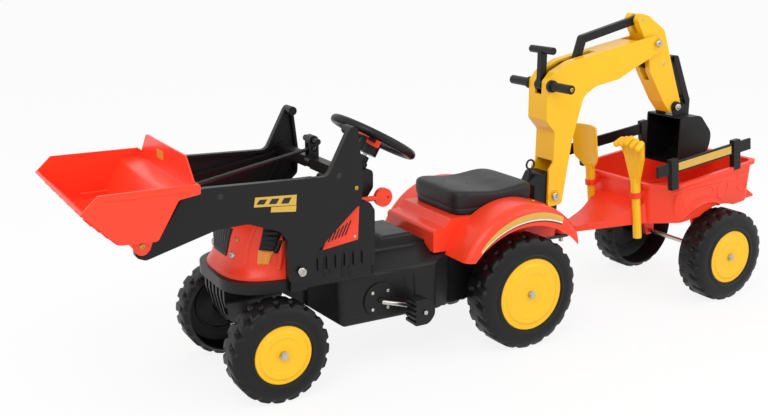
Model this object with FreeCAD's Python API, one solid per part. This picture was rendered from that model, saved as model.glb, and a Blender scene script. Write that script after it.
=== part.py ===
import FreeCAD, Part

import math
import os

# Ride on pedal tractor toy with a front loader, a rear digger and a tipped trailer, in millimetres.
# X points forward, Y to the left and Z up. The pieces are drawn with the rear axle at X = 0 and moved at
# the end, so that the origin lies on the floor under the middle of the whole set.

# General fits
WALL = 4.0               # moulded plastic wall
RUNNING = 0.05           # radial clearance of a pin or shaft in its bore
GAP = 0.4                # space between faces that slide past each other
OVERRUN = 3.0            # length by which a cut passes the face that it opens
PIN_RADIUS = 4.0         # linkage pins of loader and digger
BOLT_RADIUS = 5.0        # main pivot bolts
BOLT_HEAD_RADIUS = 9.0
BOLT_HEAD_HEIGHT = 5.0
SCREW_HEAD_RADIUS = 4.0
SCREW_HEAD_HEIGHT = 2.4

# Wheels, as radius, width, radius of the yellow cap and reach of the outer face from the middle plane
REAR_WHEEL_RADIUS = 134.0
REAR_WHEEL_WIDTH = 82.0
REAR_CAP_RADIUS = 86.0
REAR_OUTER_Y = 204.0
FRONT_WHEEL_RADIUS = 108.0
FRONT_WHEEL_WIDTH = 76.0
FRONT_CAP_RADIUS = 63.5
FRONT_OUTER_Y = 188.0
TRAILER_WHEEL_RADIUS = 121.0
TRAILER_WHEEL_WIDTH = 80.0
TRAILER_CAP_RADIUS = 70.6
TRAILER_OUTER_Y = 204.0
AXLE_RADIUS = 6.0
NOTCH_COUNT = 36         # notches between the tread blocks, on the two shoulders in turn
NOTCH_WIDTH = 14.0
NOTCH_DEPTH = 11.0
NOTCH_LEAN = 8.0         # half the sweep of a notch from the middle of the tread to its shoulder
TREAD_RIB = 12.0         # width of the unbroken rib along the middle of the tread
CAP_RECESS = 9.0
CAP_EDGE = 3.0
NUT_RADIUS = 10.0
NUT_SEAT = 4.0           # depth of the nut's seat below the outer face of the wheel
NUT_HEIGHT = 9.0
TYRE_WALL = 9.0
HUB_RADIUS = 20.0
FRONT_AXLE_X = 616.5
TRAILER_AXLE_X = -657.0

# Chassis
CHASSIS_REAR_X = -128.0
CHASSIS_FRONT_X = 560.0
CHASSIS_BOTTOM = 112.0
CHASSIS_TOP = 285.0
CHASSIS_HALF_WIDTH = 125.0
TAIL_HALF_WIDTH = 95.0
PLATFORM_FRONT_X = 700.0
PLATFORM_BOTTOM = 226.0
PLATFORM_TOP = 250.0
PLATFORM_HALF_WIDTH = 138.0
STEM_REAR_X = 560.0
STEM_FRONT_X = 692.0
STEM_BOTTOM = 130.0
STEM_HALF_WIDTH = 58.0
GRILLE_RIB_COUNT = 6
GRILLE_RIB_WIDTH = 9.0
GRILLE_RIB_PROUD = 6.0
LOUVRE_COUNT = 6
LOUVRE_WIDTH = 10.0
LOUVRE_PITCH = 21.0
LOUVRE_PROUD = 4.0
LOUVRE_FIRST_X = 405.0
LOUVRE_LOW_Z = 256.0
LOUVRE_HIGH_Z = 300.0
FRAME_CORNER = 30.0

# Bonnet, cowl and their trim
BONNET_REAR_X = 505.0
BONNET_FRONT_X = 704.0
BONNET_TOP = 394.0
BONNET_HALF_WIDTH = 134.0
BONNET_CORNER = 88.0
TRIM_DEPTH = 2.5
DASH_REAR_X = 378.0
DASH_HALF_WIDTH = 138.0
DASH_TOP = 392.0
HOOD_REAR_X = 332.0
HOOD_TOP = 438.0
HOOD_HALF_WIDTH = 48.0
HOOD_FRONT_X = 425.0
VENT_THICKNESS = 3.0
VENT_SLOT_COUNT = 6
VENT_SLOT_WIDTH = 4.0
SHROUD_RADIUS = 19.0

# Steering
STEERING_WHEEL_X = 305.0
STEERING_WHEEL_Z = 499.0
STEERING_WHEEL_RADIUS = 94.0
STEERING_RIM_RADIUS = 10.0
STEERING_HUB_RADIUS = 25.0
STEERING_HUB_DEPTH = 26.0
STEERING_DISH = 14.0     # drop of the hub below the rim
SPOKE_COUNT = 3
SPOKE_WIDTH = 20.0
SPOKE_THICKNESS = 8.0
COLUMN_ANGLE = 60.0      # degrees between the steering column and the floor
SHAFT_RADIUS = 5.0
STEER_PLAY = 5.0         # side play of the shaft's ball in the tie rod's slot
STEERING_ARM = 45.0      # length of the shaft's crank and of both knuckle arms
HORN_RADIUS = 15.0
HORN_HEIGHT = 9.0
HORN_TRAVEL = 3.0
KEY_Y = 72.0
KEY_Z = 378.0
KEY_STEM_RADIUS = 6.0
KEY_STEM_LENGTH = 42.0
KEY_HEAD_RADIUS = 21.0
KEY_HEAD_THICKNESS = 11.0
KEY_DEPTH = 14.0
KINGPIN_Y = 92.0
KINGPIN_RADIUS = 5.0
SLEEVE_RADIUS = 10.0
SLEEVE_HEIGHT = 36.0
YOKE_THICKNESS = 4.0
YOKE_HALF_WIDTH = 13.0
BEAM_RADIUS = 11.0
TIE_ROD_RADIUS = 5.0
TIE_EYE_RADIUS = 11.0
TIE_EYE_HEIGHT = 6.0

# Pedal drive
CRANK_X = 360.0
CRANK_Z = 163.0
CRANK_RADIUS = 80.0
CRANK_ANGLE = 16.0       # degrees that the left arm points below the rear
CRANK_ROD_RADIUS = 5.0
CRANK_ARM_GAP = 1.0      # space between the crank arms and the bonnet platform
CRANK_ARM_Y = PLATFORM_HALF_WIDTH + CRANK_ARM_GAP + CRANK_ROD_RADIUS
CRANK_COVER_RADIUS = 39.0
CRANK_COVER_THICKNESS = 4.0
COVER_SCREW_COUNT = 4
COVER_SCREW_CIRCLE = 27.0
PEDAL_GAP = 3.0
PEDAL_INNER_Y = CRANK_ARM_Y + CRANK_ROD_RADIUS + PEDAL_GAP
PEDAL_WIDTH = 40.0
PEDAL_LENGTH = 52.0
PEDAL_HEIGHT = 58.0
PEDAL_GROOVE = 4.0
CHAIN_RING_RADIUS = 36.5
SPROCKET_RADIUS = 24.4
CHAIN_RING_TEETH = 24
SPROCKET_TEETH = 16
TOOTH_HEIGHT = 4.0
CHAIN_THICKNESS = 5.0
CHAIN_WIDTH = 7.0
CHAIN_Y = 60.0
BUSH_WALL = 3.0
BUSH_FLANGE = 3.0

# Seat and fender deck
SEAT_REAR_X = -78.0
SEAT_FRONT_X = 142.0
SEAT_BOTTOM = 314.0
SEAT_TOP = 372.0
SEAT_CORNER = 26.0
SEAT_DIP = 12.0
DECK_REAR_X = -126.0
DECK_FRONT_X = 208.0
DECK_BOTTOM = 232.0
DECK_HALF_WIDTH = 104.0
SEAT_MARGIN = 4.0        # space between the seat and each fender
SEAT_HALF_WIDTH = DECK_HALF_WIDTH - SEAT_MARGIN
DECK_RIB_REAR_X = -110.0
DECK_RIB_FRONT_X = 146.0
FENDER_X = 8.0
FENDER_Z = 163.0
FENDER_RADIUS = 182.0
FENDER_REAR_X = -138.0
FENDER_FRONT_X = 178.0
FENDER_OUTER_Y = 196.0
FENDER_ROLL = 24.0       # radius of the fender's outer rim
SKIRT_Z = 98.0           # centre height of the long arc along the fender's lower edge
SKIRT_RADIUS = 199.0

# Front loader
LOADER_PIVOT_X = 563.0
LOADER_PIVOT_Z = 272.0
LOADER_PIVOT_LUG = 18.0
ARM_INNER_Y = 150.0
ARM_THICKNESS = 15.0
ARM_SKIN = 5.0
ARM_RIM = 6.0
ARM_CORNER = 12.0
BUCKET_PIVOT_X = 887.0
BUCKET_PIVOT_Z = 377.0
GRIP_Z = 555.0
GRIP_RADIUS = 10.0
GRIP_LENGTH = 36.0
ELBOW_BAR_X = 735.0
ELBOW_BAR_Z = 412.0
ELBOW_BAR_RADIUS = 12.0
LEVER_BAR_X = 457.0
LEVER_BAR_Z = 459.0
LEVER_BAR_RADIUS = 10.0
LEVER_BAR_SIDE = 24.0    # side of the square ends of the rear cross bar
LEVER_HUB_WIDTH = 24.0
TILT_LEVER_ARM = 30.0
TILT_LEVER_TOP = 48.0
TILT_HANDLE_LENGTH = 62.0
TILT_HANDLE_RADIUS = 7.0
TILT_ROD_RADIUS = 4.0
TILT_EYE_HALF_WIDTH = 5.0
TILT_PIN_BACK = 50.0
TILT_PIN_RISE = 40.0
LINK_PLAY = 3.0          # extra radius of a hole at a linkage pivot that is left open
EYE_RADIUS = 9.0
SCOOP_LENGTH = 221.0
SCOOP_HEIGHT = 98.0
SCOOP_BACK = 108.0       # reach of the scoop behind its pivot
SCOOP_RISE = 13.0        # height of the scoop's floor above its pivot
SCOOP_CROWN = 41.0
SCOOP_CROWN_HALF_WIDTH = 174.0
SCOOP_HALF_WIDTH = 198.0
SCOOP_RIB_COUNT = 6
SCOOP_RIB_WIDTH = 26.0
SCOOP_RIB_PROUD = 5.0
SCOOP_LUG_THICKNESS = 14.0
SCOOP_FLANGE = 10.0
SCOOP_CORNER = 12.0

# Rear digger
DIGGER_X = -195.0        # swivel axis and boom pivot
BOOM_PIVOT_Z = 305.0
BOOM_HALF_WIDTH = 36.0
BOOM_WALL = 6.0
BOOM_CORNER = 16.0
BOOM_SLOT_HALF_WIDTH = 13.0
BOOM_GRIP_X = -165.0
BOOM_GRIP_Z = 585.0
BOOM_GRIP_RADIUS = 11.0
BOOM_GRIP_REACH = 114.0
STICK_PIVOT_X = -512.0
STICK_PIVOT_Z = 672.0
STICK_TOP_RUN = 51.0     # place of the link pin in the stick's head, from the stick's pivot
STICK_TOP_RISE = 59.0
STICK_TOP_X = STICK_PIVOT_X + STICK_TOP_RUN
STICK_TOP_Z = STICK_PIVOT_Z + STICK_TOP_RISE
STICK_HALF_WIDTH = 26.0
STICK_CORNER = 12.0
STICK_LEVER_RUN = 50.0
STICK_LEVER_DROP = 62.0
STICK_LEVER_TOP = 84.0
STICK_LEVER_HUB = 13.0
STICK_LEVER_PLATE = 4.0
STICK_HANDLE_LENGTH = 84.0
STICK_HANDLE_RADIUS = 9.0
STICK_LINK_HALF_WIDTH = 7.0
STICK_LINK_DEPTH = 20.0
DIGGER_BUCKET_PIVOT_X = -596.0
DIGGER_BUCKET_PIVOT_Z = 500.0
ROCKER_X = -545.0
ROCKER_Z = 615.0
CURL_RUN = 57.0          # both cranks of the bucket linkage reach this far to the rear
CURL_RISE = 10.0
ROCKER_HALF_WIDTH = 9.0
ROCKER_TIP = 74.0
LINK_PLATE = 5.0
DIGGER_BUCKET_MOUTH_X = -586.0
DIGGER_BUCKET_REAR_X = -702.0
DIGGER_BUCKET_BOTTOM = 345.0
DIGGER_BUCKET_TOP = 476.0
DIGGER_BUCKET_HALF_WIDTH = 62.0
DIGGER_BUCKET_CORNER = 44.0
DIGGER_EAR_THICKNESS = 7.0
SWIVEL_FRONT_X = -134.0
SWIVEL_REAR_X = -208.0
SWIVEL_TOP = 368.0
SWIVEL_PEG_RADIUS = 11.0
MOUNT_PLATE_TOP = 262.0
MOUNT_PLATE_BOTTOM = 244.0
MOUNT_HALF_WIDTH = 34.0
LOCK_PIN_X = -141.0
LOCK_RING_RADIUS = 11.5
LOCK_RING_WIRE = 2.5
LOCK_PIN_TOP = 8.0
SWIVEL_SWING = 11.0      # degrees of swing that the guide slot of the lock pin leaves each way
HITCH_X = -250.0
HITCH_Z = 197.0
HITCH_PIN_RADIUS = 6.0
DRAWBAR_THICKNESS = 8.0
DRAWBAR_HALF_WIDTH = 20.0

# Trailer, drawn level about its axle and then pitched down at the front
TRAILER_PITCH = 7.5
BED_REAR = -128.0
BED_FRONT = 192.0
BED_FLOOR = 119.0
BED_TOP = 231.0
BED_HALF_WIDTH = 168.0
BED_FRONT_HALF_WIDTH = 112.0
BED_TAPER = 14.0
BED_CORNER = 20.0
BED_RIM = 7.0
BED_RIM_HEIGHT = 9.0
TAILBOARD_LEAN = 22.0
ARCH_CLEARANCE = 13.0
ARCH_INNER_Y = 114.0
TONGUE_HALF_WIDTH = 26.0
TONGUE_ROOT_HALF_WIDTH = 98.0
TONGUE_HEIGHT = 12.0
TONGUE_ROOT_HEIGHT = 62.0
AXLE_BRACKET_Y = 104.0
AXLE_BRACKET_THICKNESS = 10.0
AXLE_BRACKET_HALF_LENGTH = 42.0
RAIL_FRONT = 218.0
RAIL_REAR = -111.0
RAIL_HEIGHT = 30.0
RAIL_THICKNESS = 7.0
RAIL_BOTTOM = 264.0
POST_FRONT = 164.0
POST_REAR = -56.0
POST_TOP = 302.0
POST_WIDTH = 24.0
POST_THICKNESS = 15.0
TOOL_Y = 86.0
TOOL_REACH = 22.0        # distance of a tool's handle in front of the bed wall
TOOL_HANDLE_RADIUS = 11.0
TOOL_BOTTOM = 86.0
TOOL_TOP = 362.0
TOOL_SHOULDER = 250.0
RING_WALL = 4.0
RING_HEIGHT = 14.0
RING_Z = 196.0
SPADE_HALF_WIDTH = 46.0
SPADE_THICKNESS = 5.0
SPADE_CURVE_RADIUS = 90.0
RAKE_HALF_WIDTH = 40.0
RAKE_THICKNESS = 14.0
RAKE_FINGER_COUNT = 5
RAKE_FINGER_RADIUS = 8.0

# Outlines, each corner as shares of length, height and corner radius
CHASSIS_SHARES = [(0.0, 0.22, 0.5), (0.14, 0.0, 1.0), (0.83, 0.0, 1.4), (1.0, 0.46, 0.3), (1.0, 0.86, 0.2),
                  (0.80, 0.86, 0.3), (0.77, 0.832, 0.3), (0.685, 0.832, 0.4), (0.645, 1.0, 0.5),
                  (0.545, 1.0, 0.3), (0.50, 0.867, 0.3), (0.0, 0.867, 0.5)]
STEM_SHARES = [(0.10, 0.0, 0.3), (0.82, 0.0, 0.6), (0.94, 0.35, 1.6), (1.0, 0.72, 1.0), (1.0, 1.0, 0.0),
               (0.0, 1.0, 0.0), (0.0, 0.62, 0.5)]
DASH_SHARES = [(0.0, 0.0, 0.0), (1.0, 0.0, 0.0), (1.0, 0.93, 0.4), (0.55, 1.0, 0.6), (0.10, 1.0, 0.5),
               (0.0, 0.86, 0.5)]
HOOD_SHARES = [(0.0, 0.45, 0.3), (0.26, 0.0, 0.2), (1.0, 0.0, 0.0), (1.0, 0.72, 0.3), (0.60, 1.0, 0.5),
               (0.0, 1.0, 0.4)]
VENT_SHARES = [(0.0, 0.12, 0.2), (1.0, 0.0, 0.2), (0.16, 1.0, 0.2), (0.0, 1.0, 0.1)]
DECK_SHARES = [(0.0, 0.0, 0.2), (1.0, 0.10, 0.1), (1.0, 0.74, 0.3), (0.90, 0.78, 0.2), (0.86, 1.0, 0.2),
               (0.06, 1.0, 0.5), (0.0, 0.70, 0.5)]
ARM_SHARES = [(-0.062, -0.07, 1.0), (-0.114, 0.138, 0.8), (-0.429, 0.456, 1.0), (-0.441, 0.647, 1.5),
              (-0.405, 1.0, 0.5), (-0.345, 1.0, 0.5), (-0.194, 0.675, 1.5), (0.62, 0.70, 4.0),
              (0.74, 0.655, 1.0), (0.88, 0.412, 1.0), (1.037, 0.412, 1.0), (1.037, 0.29, 1.0),
              (0.978, 0.262, 1.0), (0.54, 0.403, 3.0),
              (0.343, 0.410, 3.0), (0.136, 0.320, 2.0), (0.09, 0.250, 1.0), (0.09, -0.05, 0.8),
              (0.06, -0.078, 0.8)]
SCOOP_SHARES = [(0.385, 0.0, 0.8), (0.70, 0.02, 1.2), (1.0, 0.68, 0.1), (0.85, 1.0, 0.5), (0.0, 1.0, 0.4),
                (0.0, 0.80, 0.4), (0.19, 0.74, 0.8)]
SCOOP_LUG_SHARES = [(-0.85, -0.30, 0.6), (0.0, -1.0, 1.4), (0.85, -0.30, 0.6), (1.20, 1.0, 0.0),
                    (-0.9, 1.0, 0.0)]
BOOM_SHARES = [(-0.073, -0.063, 0.6), (-0.073, 0.195, 0.5), (-0.035, 0.235, 0.4), (-0.032, 0.45, 0.8),
               (-0.12, 0.531, 0.8), (-0.123, 0.79, 0.8), (-0.06, 0.85, 1.2), (0.10, 0.915, 3.0),
               (0.593, 0.995, 3.0), (0.962, 1.052, 1.0), (1.062, 1.025, 1.0), (1.047, 0.95, 0.8),
               (0.779, 0.845, 3.0), (0.596, 0.771, 3.0), (0.36, 0.735, 3.0), (0.243, 0.676, 2.0),
               (0.142, 0.376, 3.0), (0.066, -0.054, 0.6)]
STICK_SHARES = [(-0.80, -0.34, 0.8), (-0.66, -0.44, 0.6), (-0.36, -0.40, 1.0), (0.333, -0.18, 2.0),
                (0.679, 0.273, 2.0), (1.235, 0.95, 1.0), (1.12, 1.10, 0.8), (0.80, 1.085, 0.8),
                (0.476, 0.907, 1.0), (-0.167, 0.43, 2.0), (-0.30, 0.07, 1.5)]
DIGGER_BUCKET_SHARES = [(0.0, 0.0, 0.1), (0.62, 0.03, 1.1), (0.95, 0.30, 1.0), (1.0, 0.62, 0.8),
                        (0.62, 1.0, 0.5), (0.0, 1.0, 0.1)]
SWIVEL_SHARES = [(0.0, 0.10, 0.3), (0.12, 0.0, 0.2), (0.97, 0.0, 0.3), (1.0, 0.42, 0.5), (0.74, 1.0, 0.3),
                 (0.22, 1.0, 0.3), (0.0, 0.72, 0.4)]
PEDAL_SHARES = [(-0.5, -0.5, 0.4), (0.20, -0.5, 1.6), (0.5, -0.18, 1.6), (0.5, 0.18, 1.6), (0.20, 0.5, 1.6),
                (-0.5, 0.5, 0.4)]
HEADLIGHT_SHARES = [(0.0, 0.0, 0.2), (0.75, 0.05, 0.2), (1.0, 0.85, 0.3), (0.80, 1.0, 0.3), (0.05, 1.0, 0.3)]
NOSE_VENT_SHARES = [(-0.45, 0.0, 0.2), (0.45, 0.0, 0.2), (0.75, 0.70, 0.4), (1.0, 1.0, 0.2), (-1.0, 1.0, 0.2),
                    (-0.75, 0.70, 0.4)]

# Plan shares of the chassis width along its length, and levels of the bonnet and the seat
CHASSIS_PLAN_SHARES = [(0.0, 0.76, 0.8), (0.42, 0.76, 1.0), (0.50, 1.0, 1.0), (0.845, 1.0, 1.0),
                       (0.92, 0.416, 0.6), (1.0, 0.416, 0.0)]
BONNET_LEVEL_SHARES = [(0.0, 1.0, 1.0), (0.13, 0.955, 0.94), (0.60, 0.93, 0.90), (0.88, 0.88, 0.84),
                       (1.0, 0.80, 0.74)]
SEAT_LEVEL_SHARES = [(0.0, 0.96), (0.16, 1.0), (0.80, 0.97), (1.0, 0.88)]
CREASE_SHARE = 0.65      # height of the crease along the chassis side
TUNNEL_SHARE = 0.52      # width of the tunnel top
SHOULDER_SHARE = 0.70    # half width of the flat of a tread
CORNER_ROOM_SHARE = 0.49 # longest stretch of a side that a corner's arc may take
NUT_FLATS_SHARE = 0.6    # height of the hexagon of a domed nut
NUT_DOME_SHARE = 0.7
LAMP_REAR_SHARE = 0.60   # headlight places, in shares of the bonnet's length and height
LAMP_LENGTH_SHARE = 0.19
LAMP_LEVEL_SHARES = (0.33, 0.50, 0.84)
NOSE_VENT_WIDTH_SHARE = 0.16
NOSE_VENT_LOW_SHARE = 0.30
NOSE_VENT_HEIGHT_SHARE = 0.42
LOUVRE_FACE_SHARE = 0.6
PANEL_SHARES = (0.22, 0.04, 0.76, 0.78)   # side vent panel: start, rise, length and height
SLOT_START_SHARE = 0.26
SLOT_RUN_SHARE = 0.50
SLOT_RISE_SHARE = 0.17
SLOT_LEAN_SHARE = 0.05
SLOT_LONG_SHARE = 0.52
SLOT_SHORTENING_SHARE = 0.34
HORN_DOME_SHARE = 1.6
HORN_DOME_DROP_SHARE = 1.25
GROOVE_SHARES = (-0.3, -0.1, 0.1, 0.3)    # heights of the tread grooves on a pedal
TOOTH_ROOT_SHARES = (0.0, 0.75)
TOOTH_TIP_SHARES = (0.25, 0.5)
CROWN_SHARE = 0.72       # top width of the scoop's crown
BOOM_FOOT_SHARE = 0.01
BOOM_SLOT_SHARE = 0.40
BOOM_FORK_SHARE = 0.22
GRIP_COLLAR_SHARE = 1.35
LEVER_STEM_SHARE = 0.7
LINK_BEND_SHARES = (0.29, 0.20)           # places of the stick link's two bends between its ends
LINK_NECK_SHARES = (0.23, 0.43)
STICK_FORK_SHARE = 0.14
WINDOW_LOW_SHARE = 0.24
WINDOW_HIGH_SHARE = 0.18
CURL_ARM_SHARE = 2.2     # half width of the bucket's rocker and link plates, in pin radii
ROCKER_POINT_SHARE = 0.7
EAR_SHARE = 0.8
EAR_LEAN_SHARE = 0.12
TONGUE_BEND_SHARE = 0.45
TONGUE_BEND_HEIGHT_SHARE = 1.4
LIP_SHARE = 0.86
EYE_SHARE = 0.7
COLLAR_SHARE = 1.15
BLADE_SHOULDER_SHARE = 0.5
PALM_SHARE = 0.55
PALM_WIDTH_SHARE = 0.8
FINGER_ROOT_SHARE = 0.62
FINGER_SPREAD_SHARE = 0.85
CAP_RING_SHARES = [(0.86, 0.0), (0.80, 1.0), (0.62, 1.0), (0.56, 0.35), (0.34, 0.35)]


def point(x, y, z):
    return FreeCAD.Vector(x, y, z)


def shaped(shares, x0, length, z0, height, corner):
    """Corners of an outline from shares of its length, its height and a corner radius."""
    return [(x0 + u * length, z0 + v * height, r * corner) for u, v, r in shares]


def outline(corners, place):
    """A closed wire of straight runs whose corners (u, v, radius) are rounded by tangent arcs."""
    count = len(corners)
    starts = []
    middles = []
    ends = []
    for index, (u, v, radius) in enumerate(corners):
        here = point(u, v, 0)
        before = point(*corners[index - 1][:2], 0) - here
        after = point(*corners[(index + 1) % count][:2], 0) - here
        room = min(before.Length, after.Length) * CORNER_ROOM_SHARE
        before.normalize()
        after.normalize()
        half = before.getAngle(after) / 2
        reach = min(radius / math.tan(half), room)
        radius = reach * math.tan(half)
        bisector = before + after
        if bisector.Length > 0:
            bisector.normalize()
        starts.append(here + before * reach)
        ends.append(here + after * reach)
        middles.append(here + bisector * (radius / math.sin(half) - radius))
    edges = []
    for index in range(count):
        following = (index + 1) % count
        if (starts[index] - ends[index]).Length > RUNNING:
            bend = [place(p.x, p.y) for p in (starts[index], middles[index], ends[index])]
            edges.append(Part.Arc(*bend).toShape())
        edges.append(Part.makeLine(place(ends[index].x, ends[index].y),
                                   place(starts[following].x, starts[following].y)))
    return Part.Wire(edges)


def side_face(corners, y):
    return Part.Face(outline(corners, lambda u, v: point(u, y, v)))


def side_prism(corners, low, high):
    """An outline in the side view, from Y = low to Y = high."""
    return side_face(corners, low).extrude(point(0, high - low, 0))


def inset_prism(corners, inset, low, high):
    """The same outline drawn in by an inset."""
    face = side_face(corners, low).makeOffset2D(-inset)
    return face.extrude(point(0, high - low, 0))


def plan_prism(corners, low, high):
    face = Part.Face(outline(corners, lambda u, v: point(u, v, low)))
    return face.extrude(point(0, 0, high - low))


def front_prism(corners, low, high):
    face = Part.Face(outline(corners, lambda u, v: point(low, u, v)))
    return face.extrude(point(high - low, 0, 0))


def block(x_low, x_high, y_low, y_high, z_low, z_high):
    """A box between two values on each axis, given in either order."""
    low = point(min(x_low, x_high), min(y_low, y_high), min(z_low, z_high))
    return Part.makeBox(abs(x_high - x_low), abs(y_high - y_low), abs(z_high - z_low), low)


def rod(start, end, radius):
    return Part.makeCylinder(radius, (end - start).Length, start, end - start)


def cross_rod(x, z, radius, low, high):
    """A cylinder along Y."""
    return Part.makeCylinder(radius, high - low, point(x, low, z), point(0, 1, 0))


def upright(x, y, radius, low, high):
    return Part.makeCylinder(radius, high - low, point(x, y, low))


def capsule(start, end, radius):
    """A bar with round ends."""
    return rod(start, end, radius).fuse([Part.makeSphere(radius, start), Part.makeSphere(radius, end)])


def strap(start, end, radius, low, high):
    """A flat link with round ends between two pivots (x, z), from Y = low to Y = high."""
    first = point(start[0], low, start[1])
    second = point(end[0], low, end[1])
    along = second - first
    along.normalize()
    across = point(along.z, 0, -along.x) * radius
    corners = [first + across, second + across, second - across, first - across]
    bar = Part.Face(Part.makePolygon(corners + corners[:1])).extrude(point(0, high - low, 0))
    return bar.fuse([cross_rod(*start, radius, low, high), cross_rod(*end, radius, low, high)])


def turned(section):
    """A ring turned about the Y axis from a section of (radius, y, corner)."""
    face = Part.Face(outline(section, lambda u, v: point(u, v, 0)))
    return face.revolve(point(0, 0, 0), point(0, 1, 0), 360)


def mirrored(shape):
    return shape.mirror(point(0, 0, 0), point(0, 1, 0))


def moved(shape, x, y, z):
    copy = shape.copy()
    copy.translate(point(x, y, z))
    return copy


def group(shapes):
    return Part.makeCompound(shapes)


def pair(shape):
    return group([shape, mirrored(shape)])


def joined(shapes):
    return shapes[0].fuse(shapes[1:]).removeSplitter()


# Wheels
def notch(radius, width, side):
    """A slanted slot from the middle rib of a tread out past one shoulder."""
    inner = side * TREAD_RIB / 2
    outer = side * (width / 2 + OVERRUN)
    half = NOTCH_WIDTH / 2
    corners = [(NOTCH_LEAN - half, inner, 0), (NOTCH_LEAN + half, inner, 0),
               (half - NOTCH_LEAN, outer, 0), (-half - NOTCH_LEAN, outer, 0)]
    return plan_prism(corners, radius - NOTCH_DEPTH, radius + OVERRUN)


def tyre(radius, width, cap_radius):
    """A blow moulded wheel about the Y axis with its outer face at Y = width / 2."""
    half = width / 2
    tread = radius - NOTCH_DEPTH
    flat = half * SHOULDER_SHARE
    dish = tread - TYRE_WALL
    back = half - CAP_RECESS - TYRE_WALL
    bore = AXLE_RADIUS + RUNNING
    side = (cap_radius + tread) / 2
    body = turned([
        (bore, half - CAP_RECESS, 0), (cap_radius, half - CAP_RECESS, 0), (cap_radius, half - CAP_EDGE, 0),
        (cap_radius + CAP_EDGE, half, CAP_EDGE), (side, half, CAP_RECESS), (radius, flat, CAP_RECESS),
        (radius, -flat, CAP_RECESS), (tread, -half, CAP_EDGE), (dish, -half, CAP_EDGE),
        (dish, back, CAP_EDGE), (HUB_RADIUS, back, CAP_EDGE),
        (HUB_RADIUS, -half, CAP_EDGE), (bore, -half, 0)])
    notches = []
    for index in range(NOTCH_COUNT):
        slot = notch(radius, width, 1 if index % 2 else -1)
        slot.rotate(point(0, 0, 0), point(0, 1, 0), 360 * index / NOTCH_COUNT)
        notches.append(slot)
    return body.cut(notches)


def hub_cap(width, cap_radius):
    """The yellow disc in the wheel's outer recess, with a raised ring and a seat for the axle nut."""
    half = width / 2
    outer = cap_radius - GAP
    low = half - CAP_EDGE
    back = half - CAP_RECESS
    bore = AXLE_RADIUS + RUNNING
    ring = [(outer * share, low + rise * CAP_EDGE, CAP_EDGE / 2) for share, rise in CAP_RING_SHARES]
    return turned([(bore, back, 0), (outer, back, 0), (outer, low, CAP_EDGE / 2)] + ring
                  + [(NUT_RADIUS + CAP_EDGE, half - NUT_SEAT, 0), (bore, half - NUT_SEAT, 0)])


def nut(y):
    """A domed axle nut standing outwards from Y = y."""
    hexagon = Part.Face(Part.makePolygon(
        [point(NUT_RADIUS * math.cos(math.radians(60 * n)), y, NUT_RADIUS * math.sin(math.radians(60 * n)))
         for n in range(7)]))
    return hexagon.extrude(point(0, NUT_HEIGHT * NUT_FLATS_SHARE, 0)).fuse(
        cross_rod(0, 0, NUT_RADIUS * NUT_DOME_SHARE, y, y + NUT_HEIGHT))


def placed_wheel(shape, x, z, outer, width):
    return moved(shape, x, outer - width / 2, z)


def axle_with_nuts(x, z, outer):
    """A plain steel axle with a nut at each end, seated in the hub caps."""
    half = cross_rod(0, 0, AXLE_RADIUS, 0, outer - NUT_SEAT).fuse(nut(outer - NUT_SEAT))
    return moved(joined([half, mirrored(half)]), x, 0, z)


def wheel_nodes(name, x, radius, width, cap_radius, outer):
    """A pair of wheels that turn with their axle, as one node of tyres and one of caps."""
    rubber = placed_wheel(tyre(radius, width, cap_radius), x, radius, outer, width)
    cap = placed_wheel(hub_cap(width, cap_radius), x, radius, outer, width)
    return {name + "_tyres": pair(rubber), name + "_rims": pair(cap)}


def front_wheel_nodes():
    """Four nodes, because each front wheel turns on its own stub axle."""
    size = (FRONT_AXLE_X, FRONT_WHEEL_RADIUS, FRONT_OUTER_Y, FRONT_WHEEL_WIDTH)
    rubber = placed_wheel(tyre(FRONT_WHEEL_RADIUS, FRONT_WHEEL_WIDTH, FRONT_CAP_RADIUS), *size)
    cap = placed_wheel(hub_cap(FRONT_WHEEL_WIDTH, FRONT_CAP_RADIUS), *size)
    return {"front_tyre_left": rubber, "front_tyre_right": mirrored(rubber),
            "front_rim_left": cap, "front_rim_right": mirrored(cap)}


# Chassis
def column_point(z):
    """The point of the steering column's axis at height z."""
    return point(STEERING_WHEEL_X + (STEERING_WHEEL_Z - z) / math.tan(math.radians(COLUMN_ANGLE)), 0, z)


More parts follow.
